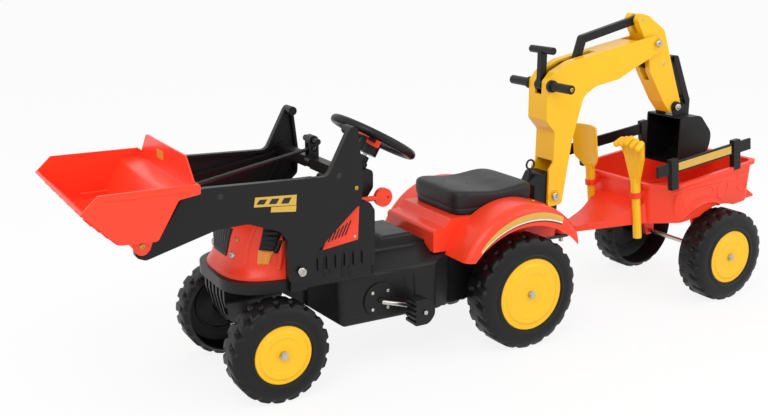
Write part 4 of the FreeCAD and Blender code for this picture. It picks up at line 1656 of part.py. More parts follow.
def all_nodes():
    """Every sub-part by name."""
    left_arm = loader_arm()
    left_knuckle = knuckle()
    nodes = {
        "chassis_shell": chassis_shell(), "front_axle_beam": front_axle_beam(),
        "shaft_bushes": shaft_bushes(), "bonnet": bonnet(), "bonnet_trim": bonnet_trim(),
        "headlight_lenses": headlight_lenses(), "dashboard": dashboard(), "side_vents": side_vents(),
        "fender_deck": fender_deck(), "seat": seat(),
        "crank_covers": crank_covers(), "body_screws": body_screws(), "drive_chain": drive_chain(),
        "digger_mount": digger_mount(), "hitch_pin": hitch_pin(), "steering_wheel": steering_wheel(),
        "steering_shaft": steering_shaft(), "horn_button": horn_button(), "ignition_key": ignition_key(),
        "knuckle_left": left_knuckle, "knuckle_right": mirrored(left_knuckle), "tie_rod": tie_rod(),
        "rear_axle": axle_with_nuts(0, REAR_WHEEL_RADIUS, REAR_OUTER_Y), "rear_sprocket": rear_sprocket(),
        "crank_shaft": crank_shaft(), "chain_ring": chain_ring(), "pedal_left": pedal(1),
        "pedal_right": pedal(-1),
        "loader_arm_left": left_arm, "loader_arm_right": mirrored(left_arm),
        "loader_cross_bars": loader_cross_bars(), "loader_bolts": loader_bolts(), "tilt_lever": tilt_lever(),
        "tilt_rod": tilt_rod(), "loader_bucket": loader_bucket(), "swivel_bracket": swivel_bracket(),
        "lock_pin": lock_pin(), "boom": boom(), "boom_grips": boom_grips(), "boom_bolts": boom_bolts(),
        "stick_lever": stick_lever(), "stick_link": stick_link(), "stick": stick(),
        "stick_bolts": stick_bolts(),
        "bucket_rocker": bucket_rocker(), "bucket_link": bucket_link(), "digger_bucket": digger_bucket(),
        "trailer_bed": trailer_bed(), "bed_rails": bed_rails(), "spade": spade(), "rake": rake(),
        "trailer_axle": axle_with_nuts(TRAILER_AXLE_X, TRAILER_WHEEL_RADIUS, TRAILER_OUTER_Y)}
    nodes.update(front_wheel_nodes())
    nodes.update(wheel_nodes("rear", 0, REAR_WHEEL_RADIUS, REAR_WHEEL_WIDTH, REAR_CAP_RADIUS, REAR_OUTER_Y))
    nodes.update(wheel_nodes("trailer", TRAILER_AXLE_X, TRAILER_WHEEL_RADIUS, TRAILER_WHEEL_WIDTH,
                             TRAILER_CAP_RADIUS, TRAILER_OUTER_Y))
    return nodes


def middle_x(nodes):
    """Middle of the whole set along X."""
    boxes = [shape.BoundBox for shape in nodes.values()]
    return (min(box.XMin for box in boxes) + max(box.XMax for box in boxes)) / 2


os.makedirs("parts", exist_ok=True)
finished = all_nodes()
shift = -middle_x(finished)
for name, shape in finished.items():
    moved(shape, shift, 0, 0).exportStep("parts/" + name + ".step")
print("origin shift", shift)
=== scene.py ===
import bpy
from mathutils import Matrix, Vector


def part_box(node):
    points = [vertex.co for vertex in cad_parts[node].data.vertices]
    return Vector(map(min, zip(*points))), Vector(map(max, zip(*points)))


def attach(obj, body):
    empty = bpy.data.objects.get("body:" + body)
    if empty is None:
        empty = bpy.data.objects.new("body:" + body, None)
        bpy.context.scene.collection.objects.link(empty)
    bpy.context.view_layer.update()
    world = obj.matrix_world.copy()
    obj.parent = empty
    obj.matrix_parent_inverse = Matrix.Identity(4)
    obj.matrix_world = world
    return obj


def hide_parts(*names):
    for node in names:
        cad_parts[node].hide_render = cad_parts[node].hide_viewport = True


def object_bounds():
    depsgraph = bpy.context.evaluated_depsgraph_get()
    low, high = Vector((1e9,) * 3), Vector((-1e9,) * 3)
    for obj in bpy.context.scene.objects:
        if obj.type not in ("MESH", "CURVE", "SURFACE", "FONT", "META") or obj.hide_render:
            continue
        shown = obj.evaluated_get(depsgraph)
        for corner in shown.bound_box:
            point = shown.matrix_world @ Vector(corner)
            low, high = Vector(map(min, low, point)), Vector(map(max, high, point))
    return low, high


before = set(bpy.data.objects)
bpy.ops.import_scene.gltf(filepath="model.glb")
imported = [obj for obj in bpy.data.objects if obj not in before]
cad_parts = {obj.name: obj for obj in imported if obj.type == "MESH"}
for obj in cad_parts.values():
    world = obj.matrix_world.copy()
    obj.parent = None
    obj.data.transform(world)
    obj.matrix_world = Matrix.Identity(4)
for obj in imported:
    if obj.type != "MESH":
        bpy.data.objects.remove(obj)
CAD_BOX = [list(corner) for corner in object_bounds()]

import math
from collections import defaultdict

import bmesh
import bpy
from bpy.props import FloatProperty, FloatVectorProperty, IntProperty, PointerProperty
from mathutils import Vector
from mathutils.bvhtree import BVHTree

bl_info = {
    "name": "Pedal tractor with loader, digger and trailer",
    "version": (1, 0, 0),
    "blender": (4, 5, 0),
    "location": "View3D > Sidebar > Tractor",
    "description": "Dresses the packed pedal tractor with treads, seat, trim, prints, screws and finishes",
    "category": "Object",
}

# Places below are millimetres from the rear axle: X forward, Y to the left and Z up from the floor.
MM = 0.001
REAR_AXLE_X = sum(corner.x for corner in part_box("rear_axle")) / 2
TRAILER_AXLE = sum(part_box("trailer_axle"), Vector()) / 2
TRAILER_PITCH = math.radians(7.5)
SIDE_NAMES = {1: "left", -1: "right"}
BOTH_SIDES = tuple(SIDE_NAMES)

# Tyres
RING_SEGMENTS = 240
NOTCH_SOFT_SHARES = (0.07, 0.22)      # share of a pitch where a notch is full and where it has ended
NOTCH_SWEEP_SHARE = 0.35              # share of a pitch by which a notch leans from rib to shoulder
NOTCH_STAGGER_SHARE = 0.5             # share of a pitch by which the inner notches follow the outer ones
CAP_PLAY = 0.4                        # room round a wheel cap
HUB_PLAY = 0.6                        # room between a wheel's hub and the shoulder it runs against
SHOULDER_SHARE = 0.72                 # shares of half a tyre's width where shoulder, blocks and rib end
BLOCK_SHARE = 0.20
RIB_SHARE = 0.13
WALL_BULGE_SHARE = 0.6                # share of the way up the side wall where it turns in
DISC_STEP_SHARES = (0.62, 0.60, 0.54, 0.52)   # edges of the ring pressed into the inner disc

# Seat rings, as share of the half size and share of the height
SEAT_RING_SHARES = ((0.90, 0.0), (0.955, 0.02), (0.968, 0.10), (0.972, 0.24), (0.962, 0.27), (0.962, 0.30),
                    (0.985, 0.33), (1.0, 0.48), (1.0, 0.72), (0.995, 0.85), (0.978, 0.93), (0.945, 0.98),
                    (0.89, 1.0), (0.78, 1.0), (0.62, 1.0), (0.44, 1.0), (0.24, 1.0), (0.08, 1.0))
SEAT_SEGMENTS = 120
SEAT_SQUARENESS = 7.5
SEAT_DIP_SHARE = 0.80                 # half length of the dip, in shares of half the seat
SEAT_SCREWS = ((93.0, -38.0), (54.0, 8.0))
SEAT_SCREW_RADIUS = 3.6
SEAT_SCREW_HEIGHT = 0.8

# Prints, seen from the side as X and Z
ARM_FACE_Y = 165.0
ARM_PLATE = ((659.0, 439.6), (570.5, 434.8), (572.4, 413.6), (662.4, 420.3))
ARM_BARS = (((650.0, 434.0), (634.0, 433.2), (641.0, 423.8), (657.0, 425.2)),
            ((624.0, 432.7), (608.0, 431.9), (615.0, 421.6), (631.0, 423.0)),
            ((598.0, 431.4), (582.0, 430.6), (589.0, 419.4), (605.0, 420.8)))
ARM_STRIP = ((625.7, 416.3), (571.7, 412.6), (573.3, 400.4), (627.3, 405.8))
RAIL_FACE_Y = 172.0
RAIL_PLATE = ((148.0, 289.0), (-38.0, 289.0), (-38.0, 269.0), (148.0, 269.0))     # from the trailer's axle
CROWN_FACE_X = 786.0
CROWN_PLATE = ((-52.0, 494.0), (-52.0, 512.0), (-10.0, 512.0), (-10.0, 494.0))   # Y and Z
ARM_GRID, RAIL_GRID, CROWN_GRID = (4, 3), (6, 2), (3, 4)      # columns and rows

# Fender stripe, as angles and radii about a centre in X and Z
FENDER_FACE_Y = 196.0
STRIPE_CENTRE = (8.0, 98.0)
STRIPE_ANGLES = (50.0, 116.0)
STRIPE_BULGE = 8.0                    # how far the upper edge bows out half way along
# Radii of each band's lower and upper edge, both at the start and at the end, and its share of the bulge
STRIPE_BANDS = {"gold": ((204.0, 219.0), (207.0, 229.0), 1.0),
                "white": ((201.8, 215.0), (203.4, 218.2), 0.0),
                "black": ((199.8, 211.6), (201.4, 214.2), 0.0)}
STRIPE_ROWS = 5
STRIPE_STEPS = 36

# Bonnet rings, as shares of its height, its half width and its length
BONNET_RING_SHARES = ((0.0, 1.0, 0.935), (0.025, 0.997, 0.932), (0.07, 0.972, 0.912), (0.13, 0.936, 0.882),
                      (0.21, 0.911, 0.862), (0.32, 0.902, 0.852), (0.45, 0.898, 0.848), (0.60, 0.892, 0.842),
                      (0.73, 0.876, 0.828), (0.83, 0.84, 0.795), (0.91, 0.775, 0.74), (0.965, 0.67, 0.665),
                      (0.99, 0.56, 0.585), (1.0, 0.44, 0.49))
BONNET_STEPS = 120
BONNET_SQUARENESS = 3.1

# Lamps and ridges on the bonnet, seen from the side as X and Z
BONNET_FACE_Y = 130.0
LENS_CORNERS = ((634.0, 282.0), (613.0, 279.0), (601.0, 307.0), (631.0, 312.0))
HOOD_CORNERS = ((629.5, 313.0), (602.0, 308.5), (574.0, 362.0), (617.0, 364.0))
BEZEL_PATH = ((600.0, 303.0), (591.0, 317.0), (576.0, 340.0), (568.0, 362.0))
BONNET_RIDGES = (((628.0, 370.0), (641.0, 345.0), (648.0, 322.0), (651.0, 300.0), (654.0, 278.0)),
                 ((582.0, 338.0), (584.0, 310.0), (588.0, 285.0), (595.0, 268.0)))
HOOD_RIBS = 5
LENS_FLUTES = 3
FLUTE_SHARE = 0.25                    # share of the lens height that the flutes take away
NOSE_VENT = ((55.0, 350.0), (-55.0, 350.0), (-34.0, 287.0), (34.0, 287.0))        # Y and Z
NOSE_VENT_X = 690.0
NOSE_SLATS = 9
TRIM_RISE = 1.6
TRIM_RIB = 1.5
LENS_RISE = 3.2
LENS_GRID, HOOD_GRID, VENT_GRID = (24, 16), (8, 40), (72, 10)
PATCH_EASE_SHARE = 0.12               # share of a patch over which its edge rises

# Moulded lines, as width and height
LINE_FINE = (5.0, 1.6)
LINE_BROAD = (11.0, 2.6)
LINE_RIM = (9.0, 2.2)
BEAD_SIDES = 12
BEAD_STEPS = 10
TAPER_SPOTS = 4                       # spots over which an open bead runs out

# Trailer bed lines, seen from the side as X and Z
BED_FACE_Y = 165.0
BED_LINES = (((-480.0, 303.0), (-520.0, 316.0), (-632.0, 323.0), (-740.0, 332.0)),
             ((-492.0, 303.0), (-494.0, 270.0), (-503.0, 234.0)),
             ((-512.0, 226.0), (-540.0, 246.0), (-573.0, 261.0), (-611.0, 267.0), (-640.0, 261.0),
              (-655.0, 250.0)))
BED_FRAMES = (((-634.0, 312.0), (-664.0, 314.0), (-668.0, 290.0), (-654.0, 272.0), (-636.0, 282.0)),
              ((-708.0, 300.0), (-736.0, 303.0), (-740.0, 292.0), (-722.0, 286.0)),
              ((-516.0, 300.0), (-604.0, 309.0), (-612.0, 288.0), (-560.0, 282.0), (-522.0, 262.0)))

# Cowl louvres and chassis lines, seen from the side as X and Z
COWL_FACE_Y = 142.0
LOUVRE_CENTRES = ((492.0, 283.0), (448.0, 274.0))
LOUVRE_HALF_WIDTH = 8.0
LOUVRE_DROP = 40.0
CHASSIS_LINES = (((452.0, 231.0), (350.0, 226.0), (262.0, 219.0)),
                 ((296.0, 212.0), (294.0, 180.0), (292.0, 148.0)),
                 ((272.0, 212.0), (270.0, 180.0), (268.0, 148.0)),
                 ((452.0, 152.0), (440.0, 140.0), (410.0, 132.0)))

# Cheeks that close the gap between cowl and bonnet, seen from the side as X and Z
CHEEK_OUTLINE = ((500.0, 248.0), (548.0, 248.0), (540.0, 300.0), (500.0, 306.0))
CHEEK_RINGS = ((112.0, 0.0), (136.5, 0.0), (138.5, 2.0))       # Y and inset

# Red side panels, with flat black strips painted as the shade in each slanted slot, seen from the side as X
# and Z
PANEL_FACE_Y = 150.0
PANEL_CORNERS = ((503.0, 302.0), (420.0, 313.0), (416.0, 386.0), (481.0, 352.0))
PANEL_RISE = 3.0
SLOT_COUNT = 6
SLOT_FEET = ((490.0, 318.0), (451.0, 327.0))
SLOT_TOPS = ((481.0, 335.0), (437.0, 357.0))
SLOT_WIDTH = 3.2
PANEL_GRID, SLOT_GRID = (24, 24), (2, 6)

# Steering column: places along its slant from the middle of the wheel down, with half size or radius
COLUMN_TOP = (305.0, 0.0, 499.0)
COLUMN_SLANT = math.radians(30.0)
HORN_RINGS = ((22.0, 1.0), (26.2, 1.0), (27.4, 0.92))          # Y and share of the half sizes
HORN_MIDDLE = (11.5, 7.0)             # along the column and ahead of it
HORN_HALF = (9.5, 17.0)
HORN_SQUARENESS = 6.0
SLEEVE_RINGS = ((46.0, 9.0), (47.0, 12.5), (60.0, 13.0), (61.5, 16.0), (72.0, 16.0), (73.5, 12.5),
                (100.0, 13.5))
COLUMN_SEGMENTS = 64

# Bucket: its rims as X and Z, the ridges of its lip, the scallops of its floor and the lugs about its pivot
SCOOP_FACE_Y = 198.0
SCOOP_RIM = ((962.0, 479.0), (880.0, 479.0), (792.0, 479.0))
LIP_LEVELS = (404.0, 417.0, 430.0, 443.0)
LIP_HALF_WIDTH = 188.0
LIP_FACE_X = 1000.0
LIP_SPOT_SHARES = (-1.0, -0.5, 0.0, 0.5, 1.0)
SCALLOP_COUNT = 8
SCALLOP_PITCH = 44.0
SCALLOP_ARC = ((990.0, -13.0), (974.0, -9.0), (968.0, 0.0), (974.0, 9.0), (990.0, 13.0))   # X and Y
LUG_OUTLINE = ((30.0, 30.0), (19.0, 2.0), (15.0, -9.0), (8.0, -16.0), (0.0, -18.5), (-8.0, -16.0),
               (-15.0, -9.0), (-19.0, 2.0), (-30.0, 30.0))
LUG_THICKNESS = 6.5
LUG_SCREW_RADIUS = 6.0
LUG_SCREW_HEIGHT = 2.6
LUG_GAP = 0.5
LUG_ROUNDING = 1.2

# Fasteners: body, carrier, spot, aim of the line that finds the carrier, radius, height, lobes and finish
CROSS, SOCKET = 4, 6
NOSE_AIM = (-0.87, -0.49, 0.0)
ASIDE = (0.0, -1.0, 0.0)
DOWN = (0.0, 0.0, -1.0)
PAIRED_SCREWS = (
    ("tractor", "sculpted_bonnet", (669.0, 56.0, 295.0), NOSE_AIM, 7.5, 3.6, SOCKET, "zinc_steel"),
    ("tractor", "sculpted_bonnet", (660.0, 66.0, 330.0), NOSE_AIM, 5.0, 2.6, CROSS, "brass"),
    ("loader", "loader_arm", (436.0, 165.0, 432.0), ASIDE, 4.6, 2.4, CROSS, "brass"),
    ("loader", "loader_arm", (730.0, 165.0, 450.0), ASIDE, 5.5, 0.7, SOCKET, "black_steel"),
    ("loader", "loader_arm", (476.0, 165.0, 462.0), ASIDE, 5.5, 0.7, SOCKET, "black_steel"),
    ("tractor", "side_panels", (428.0, 141.0, 321.0), ASIDE, 3.6, 1.8, CROSS, "zinc_steel"),
    ("tractor", "fender_deck", (-52.0, 128.0, 350.0), DOWN, 4.2, 2.4, CROSS, "brass"),
    ("tractor", "body_screws", (565.6, 170.0, 275.0), ASIDE, 8.2, 3.0, SOCKET, "zinc_steel"),
    ("boom_body", "boom_bolts", (-190.0, 41.0, 310.0), ASIDE, 8.0, 3.0, CROSS, "zinc_steel"),
    ("boom_body", "boom_bolts", (-506.0, 41.0, 671.0), ASIDE, 8.0, 3.0, CROSS, "zinc_steel"),
    ("stick_body", "stick_bolts", (-598.0, 38.0, 501.0), ASIDE, 7.0, 3.0, CROSS, "zinc_steel"))
# Screw head sections: shares of the radius and of the height, and how strongly the recess shapes them
SCREW_SECTION_SHARES = ((1.0, -0.3, 0.0), (1.0, 0.35, 0.0), (0.94, 0.62, 0.0), (0.78, 0.86, 0.0),
                        (0.62, 0.97, 0.0), (0.46, 1.0, 1.0), (0.40, 0.55, 1.0), (0.10, 0.50, 0.0))
SCREW_SEGMENTS = 32
LOBE_SHARE = 0.35
HUB_CENTRES = ((-190.0, 310.0), (-506.0, 671.0))
HUB_FACE_Y = 40.0
HUB_RADIUS = 15.5
HUB_STEPS = 8
GRIP_END_RADIUS = 5.5
GRIP_END_HEIGHT = 2.6

# Lines that find what carries a piece
RAY_LEAD = 250.0                      # how far before its spot a line starts

# Edges and shading, with angles in degrees
WELD_REACH = 0.02
FLAT_ANGLE = 0.5                      # faces that meet flatter than this are one face
EDGE_ANGLE = 32.0                     # edges sharper than this are rounded
EDGE_SEGMENTS = 3
EDGE_WEIGHT = 60
SHARP_ANGLE = 40.0                    # edges of dressed pieces sharper than this stay crisp
TREAD_SHARP_ANGLE = 50.0
EASED_BOLDLY = ("trailer_bed", "loader_bucket", "boom", "stick", "dashboard", "chassis_shell",
                "digger_bucket", "swivel_bracket", "fender_deck", "stick_link", "spade")
# The chain, and solids that a dressed piece replaces
LEFT_SHARP = ("drive_chain", "front_tyre_left", "front_tyre_right", "rear_tyres", "trailer_tyres", "seat",
              "bonnet", "bonnet_trim", "headlight_lenses", "side_vents")

# Stage: the lamps' places are from the middle of the frame, the camera's is from the rear axle
CAMERA_PLACE = (1362.1, 1903.2, 912.05)
KEY_PLACE = (2200.0, 2000.0, 3400.0)
FILL_PLACE = (-2400.0, 2600.0, 2400.0)
LAMP_AIM = (0.0, 0.0, 300.0)
FLOOR_PATCH = 400.0
FLOOR_TONE_SHARE = 0.99
FLOOR_WHITE_SHARE = 0.86
FLOOR_SEGMENTS = 96
WHITE = (1.0, 1.0, 1.0, 1.0)

# Finishes, by the record's slot or the print's name: material, colour, IOR, roughness, size of the drifts
# of tone, size of the grain, depth of its relief, share by which the drifts darken, and further sockets
PLASTIC = {"Specular IOR Level": 0.30}
WAXY = {"Specular IOR Level": 0.35}
DULL = {"Specular IOR Level": 0.28}
METAL = {"Metallic": 1.0}
FINISH_TABLE = {
    # Waxy gloss with soft mottling where the hot tube met the mould
    "red_plastic": ("Blow moulded polyethylene red", "red", 1.51, 0.30, 60.0, 5.0, 0.10, 0.10, WAXY),
    "yellow_plastic": ("Blow moulded polyethylene yellow", "yellow", 1.51, 0.30, 60.0, 5.0, 0.10, 0.08, WAXY),
    # Satin with a spark eroded grain; the grain is drawn at twice its real 0.8 mm so that it shows
    "black_plastic": ("Injection moulded polypropylene black", "black", 1.49, 0.40, 45.0, 1.6, 0.06, 0.25,
                      PLASTIC),
    # Duller than the bodywork, with the ripple of a thick blown wall
    "wheel_plastic": ("Blow moulded polyethylene tyre black", "tyre", 1.51, 0.46, 35.0, 2.2, 0.12, 0.25,
                      DULL),
    # Leather like grain with pores 3 mm apart
    "seat_plastic": ("Injection moulded grained seat black", "seat", 1.49, 0.48, 40.0, 3.0, 0.22, 0.25,
                     PLASTIC),
    # Bright plating over rolled stock, with a cloudy sheen
    "zinc_steel": ("Zinc plated steel", "zinc", None, 0.26, 8.0, 1.2, 0.03, 0.20, METAL),
    # Warm yellow passivate over plating, as bright as the zinc
    "brass": ("Yellow passivated steel", "brass", None, 0.28, 6.0, 1.2, 0.03, 0.25, METAL),
    # Thin glossy paint that follows the steel
    "black_steel": ("Enamelled steel black", "enamel", 1.50, 0.34, 30.0, 2.0, 0.04, 0.25, {}),
    # Coloured lens, nearly opaque over its hood
    "amber_lens": ("Moulded polycarbonate amber", "amber", 1.58, 0.12, 12.0, 3.0, 0.20, 0.25,
                   {"Transmission Weight": 0.08}),
    # Milky and slightly mottled
    "white_nylon": ("Machined natural nylon", "nylon", 1.53, 0.45, 20.0, 1.0, 0.03, 0.08, {}),
    # Metallic ink on foil, softly brushed by the roller, under a thin varnish
    "gold": ("Printed foil gold", "gold", 1.50, 0.34, 14.0, 1.0, 0.02, 0.16, {"Coat Weight": 0.4}),
    "white": ("Printed foil white", "white", 1.50, 0.36, 20.0, 1.0, 0.02, 0.05, {}),
    "black": ("Printed foil black", "black", 1.50, 0.32, 20.0, 1.0, 0.02, 0.15, {}),
}
GLOSS_SHARES = (0.85, 1.15)           # range of the roughness over the drifts of tone
# Solids with another finish than their slot's
OTHER_FINISH = {"knuckle_left": "zinc_steel", "knuckle_right": "zinc_steel", "lock_pin": "black_steel"}


def linear(code):
    """The linear colour of an sRGB hex code."""
    shares = [int(code[place:place + 2], 16) / 255 for place in (0, 2, 4)]
    return [share / 12.92 if share <= 0.04045 else ((share + 0.055) / 1.055) ** 2.4 for share in shares]


def at(x, y, z):
    """A place in the frame from millimetres about the rear axle."""
    return Vector((REAR_AXLE_X + x * MM, y * MM, z * MM))


def on_side(outline, side, face):
    """Places on one side of the toy, from an outline in X and Z and a distance from the middle."""
    return [at(x, side * face, z) for x, z in outline]


def on_trailer(x, y, z):
    """A place in the frame from millimetres about the trailer's axle, along the pitched bed."""
    along = Vector((math.cos(TRAILER_PITCH), 0, -math.sin(TRAILER_PITCH)))
    up = Vector((math.sin(TRAILER_PITCH), 0, math.cos(TRAILER_PITCH)))
    return TRAILER_AXLE + (along * x + up * z + Vector((0, y, 0))) * MM


def colour_property(label, words, code):
    return FloatVectorProperty(name=label, description=words, default=linear(code), subtype="COLOR",
                               size=3, min=0.0, max=1.0)


def length_property(label, words, size):
    return FloatProperty(name=label, description=words, default=size * MM, unit="LENGTH")


def place_property(label, words, place):
    return FloatVectorProperty(name=label, description=words, default=place, subtype="TRANSLATION",
                               unit="LENGTH")


def angle_property(label, words, degrees):
    return FloatProperty(name=label, description=words, default=math.radians(degrees), subtype="ANGLE")


def level_property(label, words, level, unit="NONE"):
    return FloatProperty(name=label, description=words, default=level, unit=unit)


class TractorColours(bpy.types.PropertyGroup):
    """Colours of the mouldings, metals and prints."""
    red: colour_property("Red", "Bonnet, fenders, bucket and trailer bed", "FF4326")
    yellow: colour_property("Yellow", "Wheel caps, boom, stick and hand tools", "FFC419")
    black: colour_property("Black", "Chassis, loader arms and rails", "131214")
    tyre: colour_property("Tyre black", "Hollow moulded wheels", "0E0E0F")
    seat: colour_property("Seat black", "Grained seat", "232223")
    zinc: colour_property("Zinc", "Plated bolts, axles and rods", "C9C6BE")
    brass: colour_property("Brass", "Yellow passivated screws", "C9A24A")
    enamel: colour_property("Black enamel", "Painted steel underneath", "1A1A1B")
    amber: colour_property("Amber", "Headlight lenses", "FF9A24")
    nylon: colour_property("Nylon", "Shaft bushes", "E4E0D4")
    gold: colour_property("Gold", "Printed stripes and plates", "D9AE3C")
    white: colour_property("White", "Printed line under the fender stripe", "F2F0EA")
    floor: colour_property("Floor", "Studio floor", "FAFAFA")


class TractorSizes(bpy.types.PropertyGroup):
    """Sizes of the pieces that dress the solids, written in millimetres."""
    rear_width: length_property("Rear tyre width", "Width of each rear tyre", 82.0)
    trailer_width: length_property("Trailer tyre width", "Width of each trailer tyre", 80.0)
    notch_count: IntProperty(name="Notches", description="Notches on each shoulder of a tyre", default=20)
    notch_depth: length_property("Notch depth", "Depth of the notches between tread blocks", 6.8)
    cap_recess: length_property("Cap recess", "Depth of the recess that takes the wheel cap", 9.3)
    tyre_wall: length_property("Tyre wall", "Wall of the hollow wheel", 9.0)
    hub_radius: length_property("Hub radius", "Tube round the axle inside a wheel", 20.0)
    bore_radius: length_property("Bore radius", "Hole for the axle", 6.2)
    seat_dip: length_property("Seat dip", "Depth of the dip across the seat", 7.0)
    edge: length_property("Edge rounding", "Rounding of the moulded edges", 1.2)
    bold_edge: length_property("Bold edge rounding", "Rounding of the large hollow mouldings", 2.8)
    foil: length_property("Print thickness", "Thickness of a printed foil", 0.4)


class TractorStage(bpy.types.PropertyGroup):
    """Camera, lamps and floor, with lengths written in millimetres."""
    lens: level_property("Lens", "Focal length on a 36 mm sensor", 46.31, "CAMERA")
    place: place_property("Camera place", "Where the camera stands", at(*CAMERA_PLACE))
    yaw: angle_property("Yaw", "Heading of the view", 240.31)
    pitch: angle_property("Pitch", "Dip of the view below level", 14.66)
    shift: level_property("Shift", "Vertical shift of the frame", -0.00456)
    soft_light: level_property("Soft light", "Level of the light from all round", 0.78)
    key_power: level_property("Key lamp", "Power of the large lamp in front", 62.0, "POWER")
    fill_power: level_property("Fill lamp", "Power of the lamp on the other side", 30.0, "POWER")
    lamp_size: length_property("Lamp size", "Side of the square lamps", 2400.0)
    floor_radius: length_property("Floor radius", "Radius of the studio floor", 40000.0)
    key_place: place_property("Key place", "Where the key lamp hangs", Vector(KEY_PLACE) * MM)
    fill_place: place_property("Fill place", "Where the fill lamp hangs", Vector(FILL_PLACE) * MM)


# Materials
def add(tree, kind, settings=None, links=None):
    """Adds one node, sets its sockets or attributes and links its inputs."""
    node = tree.nodes.new("ShaderNode" + kind)
    for key, value in (settings or {}).items():
        if isinstance(key, int) or key in node.inputs:
            node.inputs[key].default_value = value
        else:
            setattr(node, key, value)
    for key, source in (links or {}).items():
        tree.links.new(source, node.inputs[key])
    return node


def blank_material(name):
    material = bpy.data.materials.new(name)
    material.use_nodes = True
    material.node_tree.nodes.clear()
    return material, material.node_tree


def surface(name, colour, ior, roughness, patch, grain, relief, tone_share, sockets):
    """A finish with broad drifts of tone, a fine grain in the relief and a gloss that follows the drifts."""
    material, tree = blank_material(name)
    place = add(tree, "TexCoord").outputs["Object"]
    drift = add(tree, "TexNoise", {"Scale": 1 / (patch * MM), "Detail": 4.0}, {"Vector": place})
    fine = add(tree, "TexNoise", {"Scale": 1 / (grain * MM), "Detail": 2.0, "Roughness": 0.6},
               {"Vector": place})
    deep = [share * (1 - tone_share) for share in colour]
    mixed = add(tree, "Mix", {"data_type": "RGBA", 6: (*colour, 1.0), 7: (*deep, 1.0)}, {0: drift.outputs[0]})
    low, high = [roughness * share for share in GLOSS_SHARES]
    gloss = add(tree, "MapRange", {"To Min": low, "To Max": high}, {"Value": drift.outputs[0]})
    bump = add(tree, "Bump", {"Strength": 1.0, "Distance": relief * MM}, {"Height": fine.outputs[0]})
    settings = dict(sockets)
    if ior is not None:
        settings["IOR"] = ior
    shader = add(tree, "BsdfPrincipled", settings,
                 {"Base Color": mixed.outputs[2], "Roughness": gloss.outputs[0], "Normal": bump.outputs[0]})
    add(tree, "OutputMaterial", {}, {"Surface": shader.outputs[0]})
    return material


FINISHES = {}


def ease_edges(thing, width):
    """Rounds the solid's sharp edges for the eye and leaves its mesh as it is."""
    weld = thing.modifiers.new("joined faces", "WELD")
    weld.merge_threshold = WELD_REACH * MM
    flat = thing.modifiers.new("flat faces", "DECIMATE")
    flat.decimate_type = "DISSOLVE"
    flat.angle_limit = math.radians(FLAT_ANGLE)
    bevel = thing.modifiers.new("moulded edges", "BEVEL")
    bevel.width = width
    bevel.segments = EDGE_SEGMENTS
    bevel.limit_method = "ANGLE"
    bevel.angle_limit = math.radians(EDGE_ANGLE)
    normals = thing.modifiers.new("even shading", "WEIGHTED_NORMAL")
    normals.weight = EDGE_WEIGHT


# Mesh helpers
def piece(name, bm, slot, body, material=None, stands_for=(), sharp=SHARP_ANGLE):
    """Makes a finished piece from a mesh in world metres and hangs it on its body."""
    bmesh.ops.recalc_face_normals(bm, faces=bm.faces)
    mesh = bpy.data.meshes.new(name)
    bm.to_mesh(mesh)
    bm.free()
    mesh.shade_smooth()
    mesh.set_sharp_from_angle(angle=math.radians(sharp))
    mesh.materials.append(FINISHES[material or slot])
    thing = bpy.data.objects.new(name, mesh)
    bpy.context.scene.collection.objects.link(thing)
    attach(thing, body)
    if stands_for:
        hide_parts(*stands_for)
    return thing


def skin(bm, rings, closed_loop=False):
    """Faces between rings of equal length; the first and last are capped unless the rings form a loop."""
    made = [[bm.verts.new(point) for point in ring] for ring in rings]
    pairs = list(zip(made, made[1:]))
    if closed_loop:
        pairs.append((made[-1], made[0]))
    for low, high in pairs:
        for index in range(len(low)):
            after = (index + 1) % len(low)
            bm.faces.new((low[index], low[after], high[after], high[index]))
    if not closed_loop:
        bm.faces.new(made[0])
        bm.faces.new(made[-1])


def surface_tree(*things):
    """The faces of solids or finished pieces, to set others on."""
    points, faces = [], []
    for thing in things:
        start = len(points)
        points += [vertex.co.copy() for vertex in thing.data.vertices]
        faces += [[start + index for index in face.vertices] for face in thing.data.polygons]
    return BVHTree.FromPolygons(points, faces)


def carrier(*nodes):
    """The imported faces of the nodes, to set other pieces on."""
    return surface_tree(*[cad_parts[node] for node in nodes])


def settle(tree, spot, direction):
    """The point and outward normal where a line through the spot first meets the carrier."""
    hit, normal, _, _ = tree.ray_cast(spot - direction * (RAY_LEAD * MM), direction)
    if hit is None:
        raise RuntimeError("nothing carries the piece at %s" % [round(value / MM) for value in spot])
    if normal.dot(direction) > 0:
        normal = -normal
    return hit, normal


def lay(bm, grid, direction, tree, rise, sink):
    """A closed patch of spots set on a carrier; rise gives its height from the shares across and along it."""
    last_row, last_spot = len(grid) - 1, len(grid[0]) - 1
    tops, lows = [], []
    for j, row in enumerate(grid):
        top, low = [], []
        for i, spot in enumerate(row):
            hit, normal = settle(tree, spot, direction)
            top.append(bm.verts.new(hit + normal * rise(i / last_spot, j / last_row)))
            low.append(bm.verts.new(hit - normal * sink))
        tops.append(top)
        lows.append(low)
    for j in range(last_row):
        for i in range(last_spot):
            bm.faces.new((tops[j][i], tops[j][i + 1], tops[j + 1][i + 1], tops[j + 1][i]))
            bm.faces.new((lows[j][i], lows[j + 1][i], lows[j + 1][i + 1], lows[j][i + 1]))
    for j in range(last_row):
        for i in (0, last_spot):
            bm.faces.new((tops[j][i], tops[j + 1][i], lows[j + 1][i], lows[j][i]))
    for i in range(last_spot):
        for j in (0, last_row):
            bm.faces.new((tops[j][i], tops[j][i + 1], lows[j][i + 1], lows[j][i]))


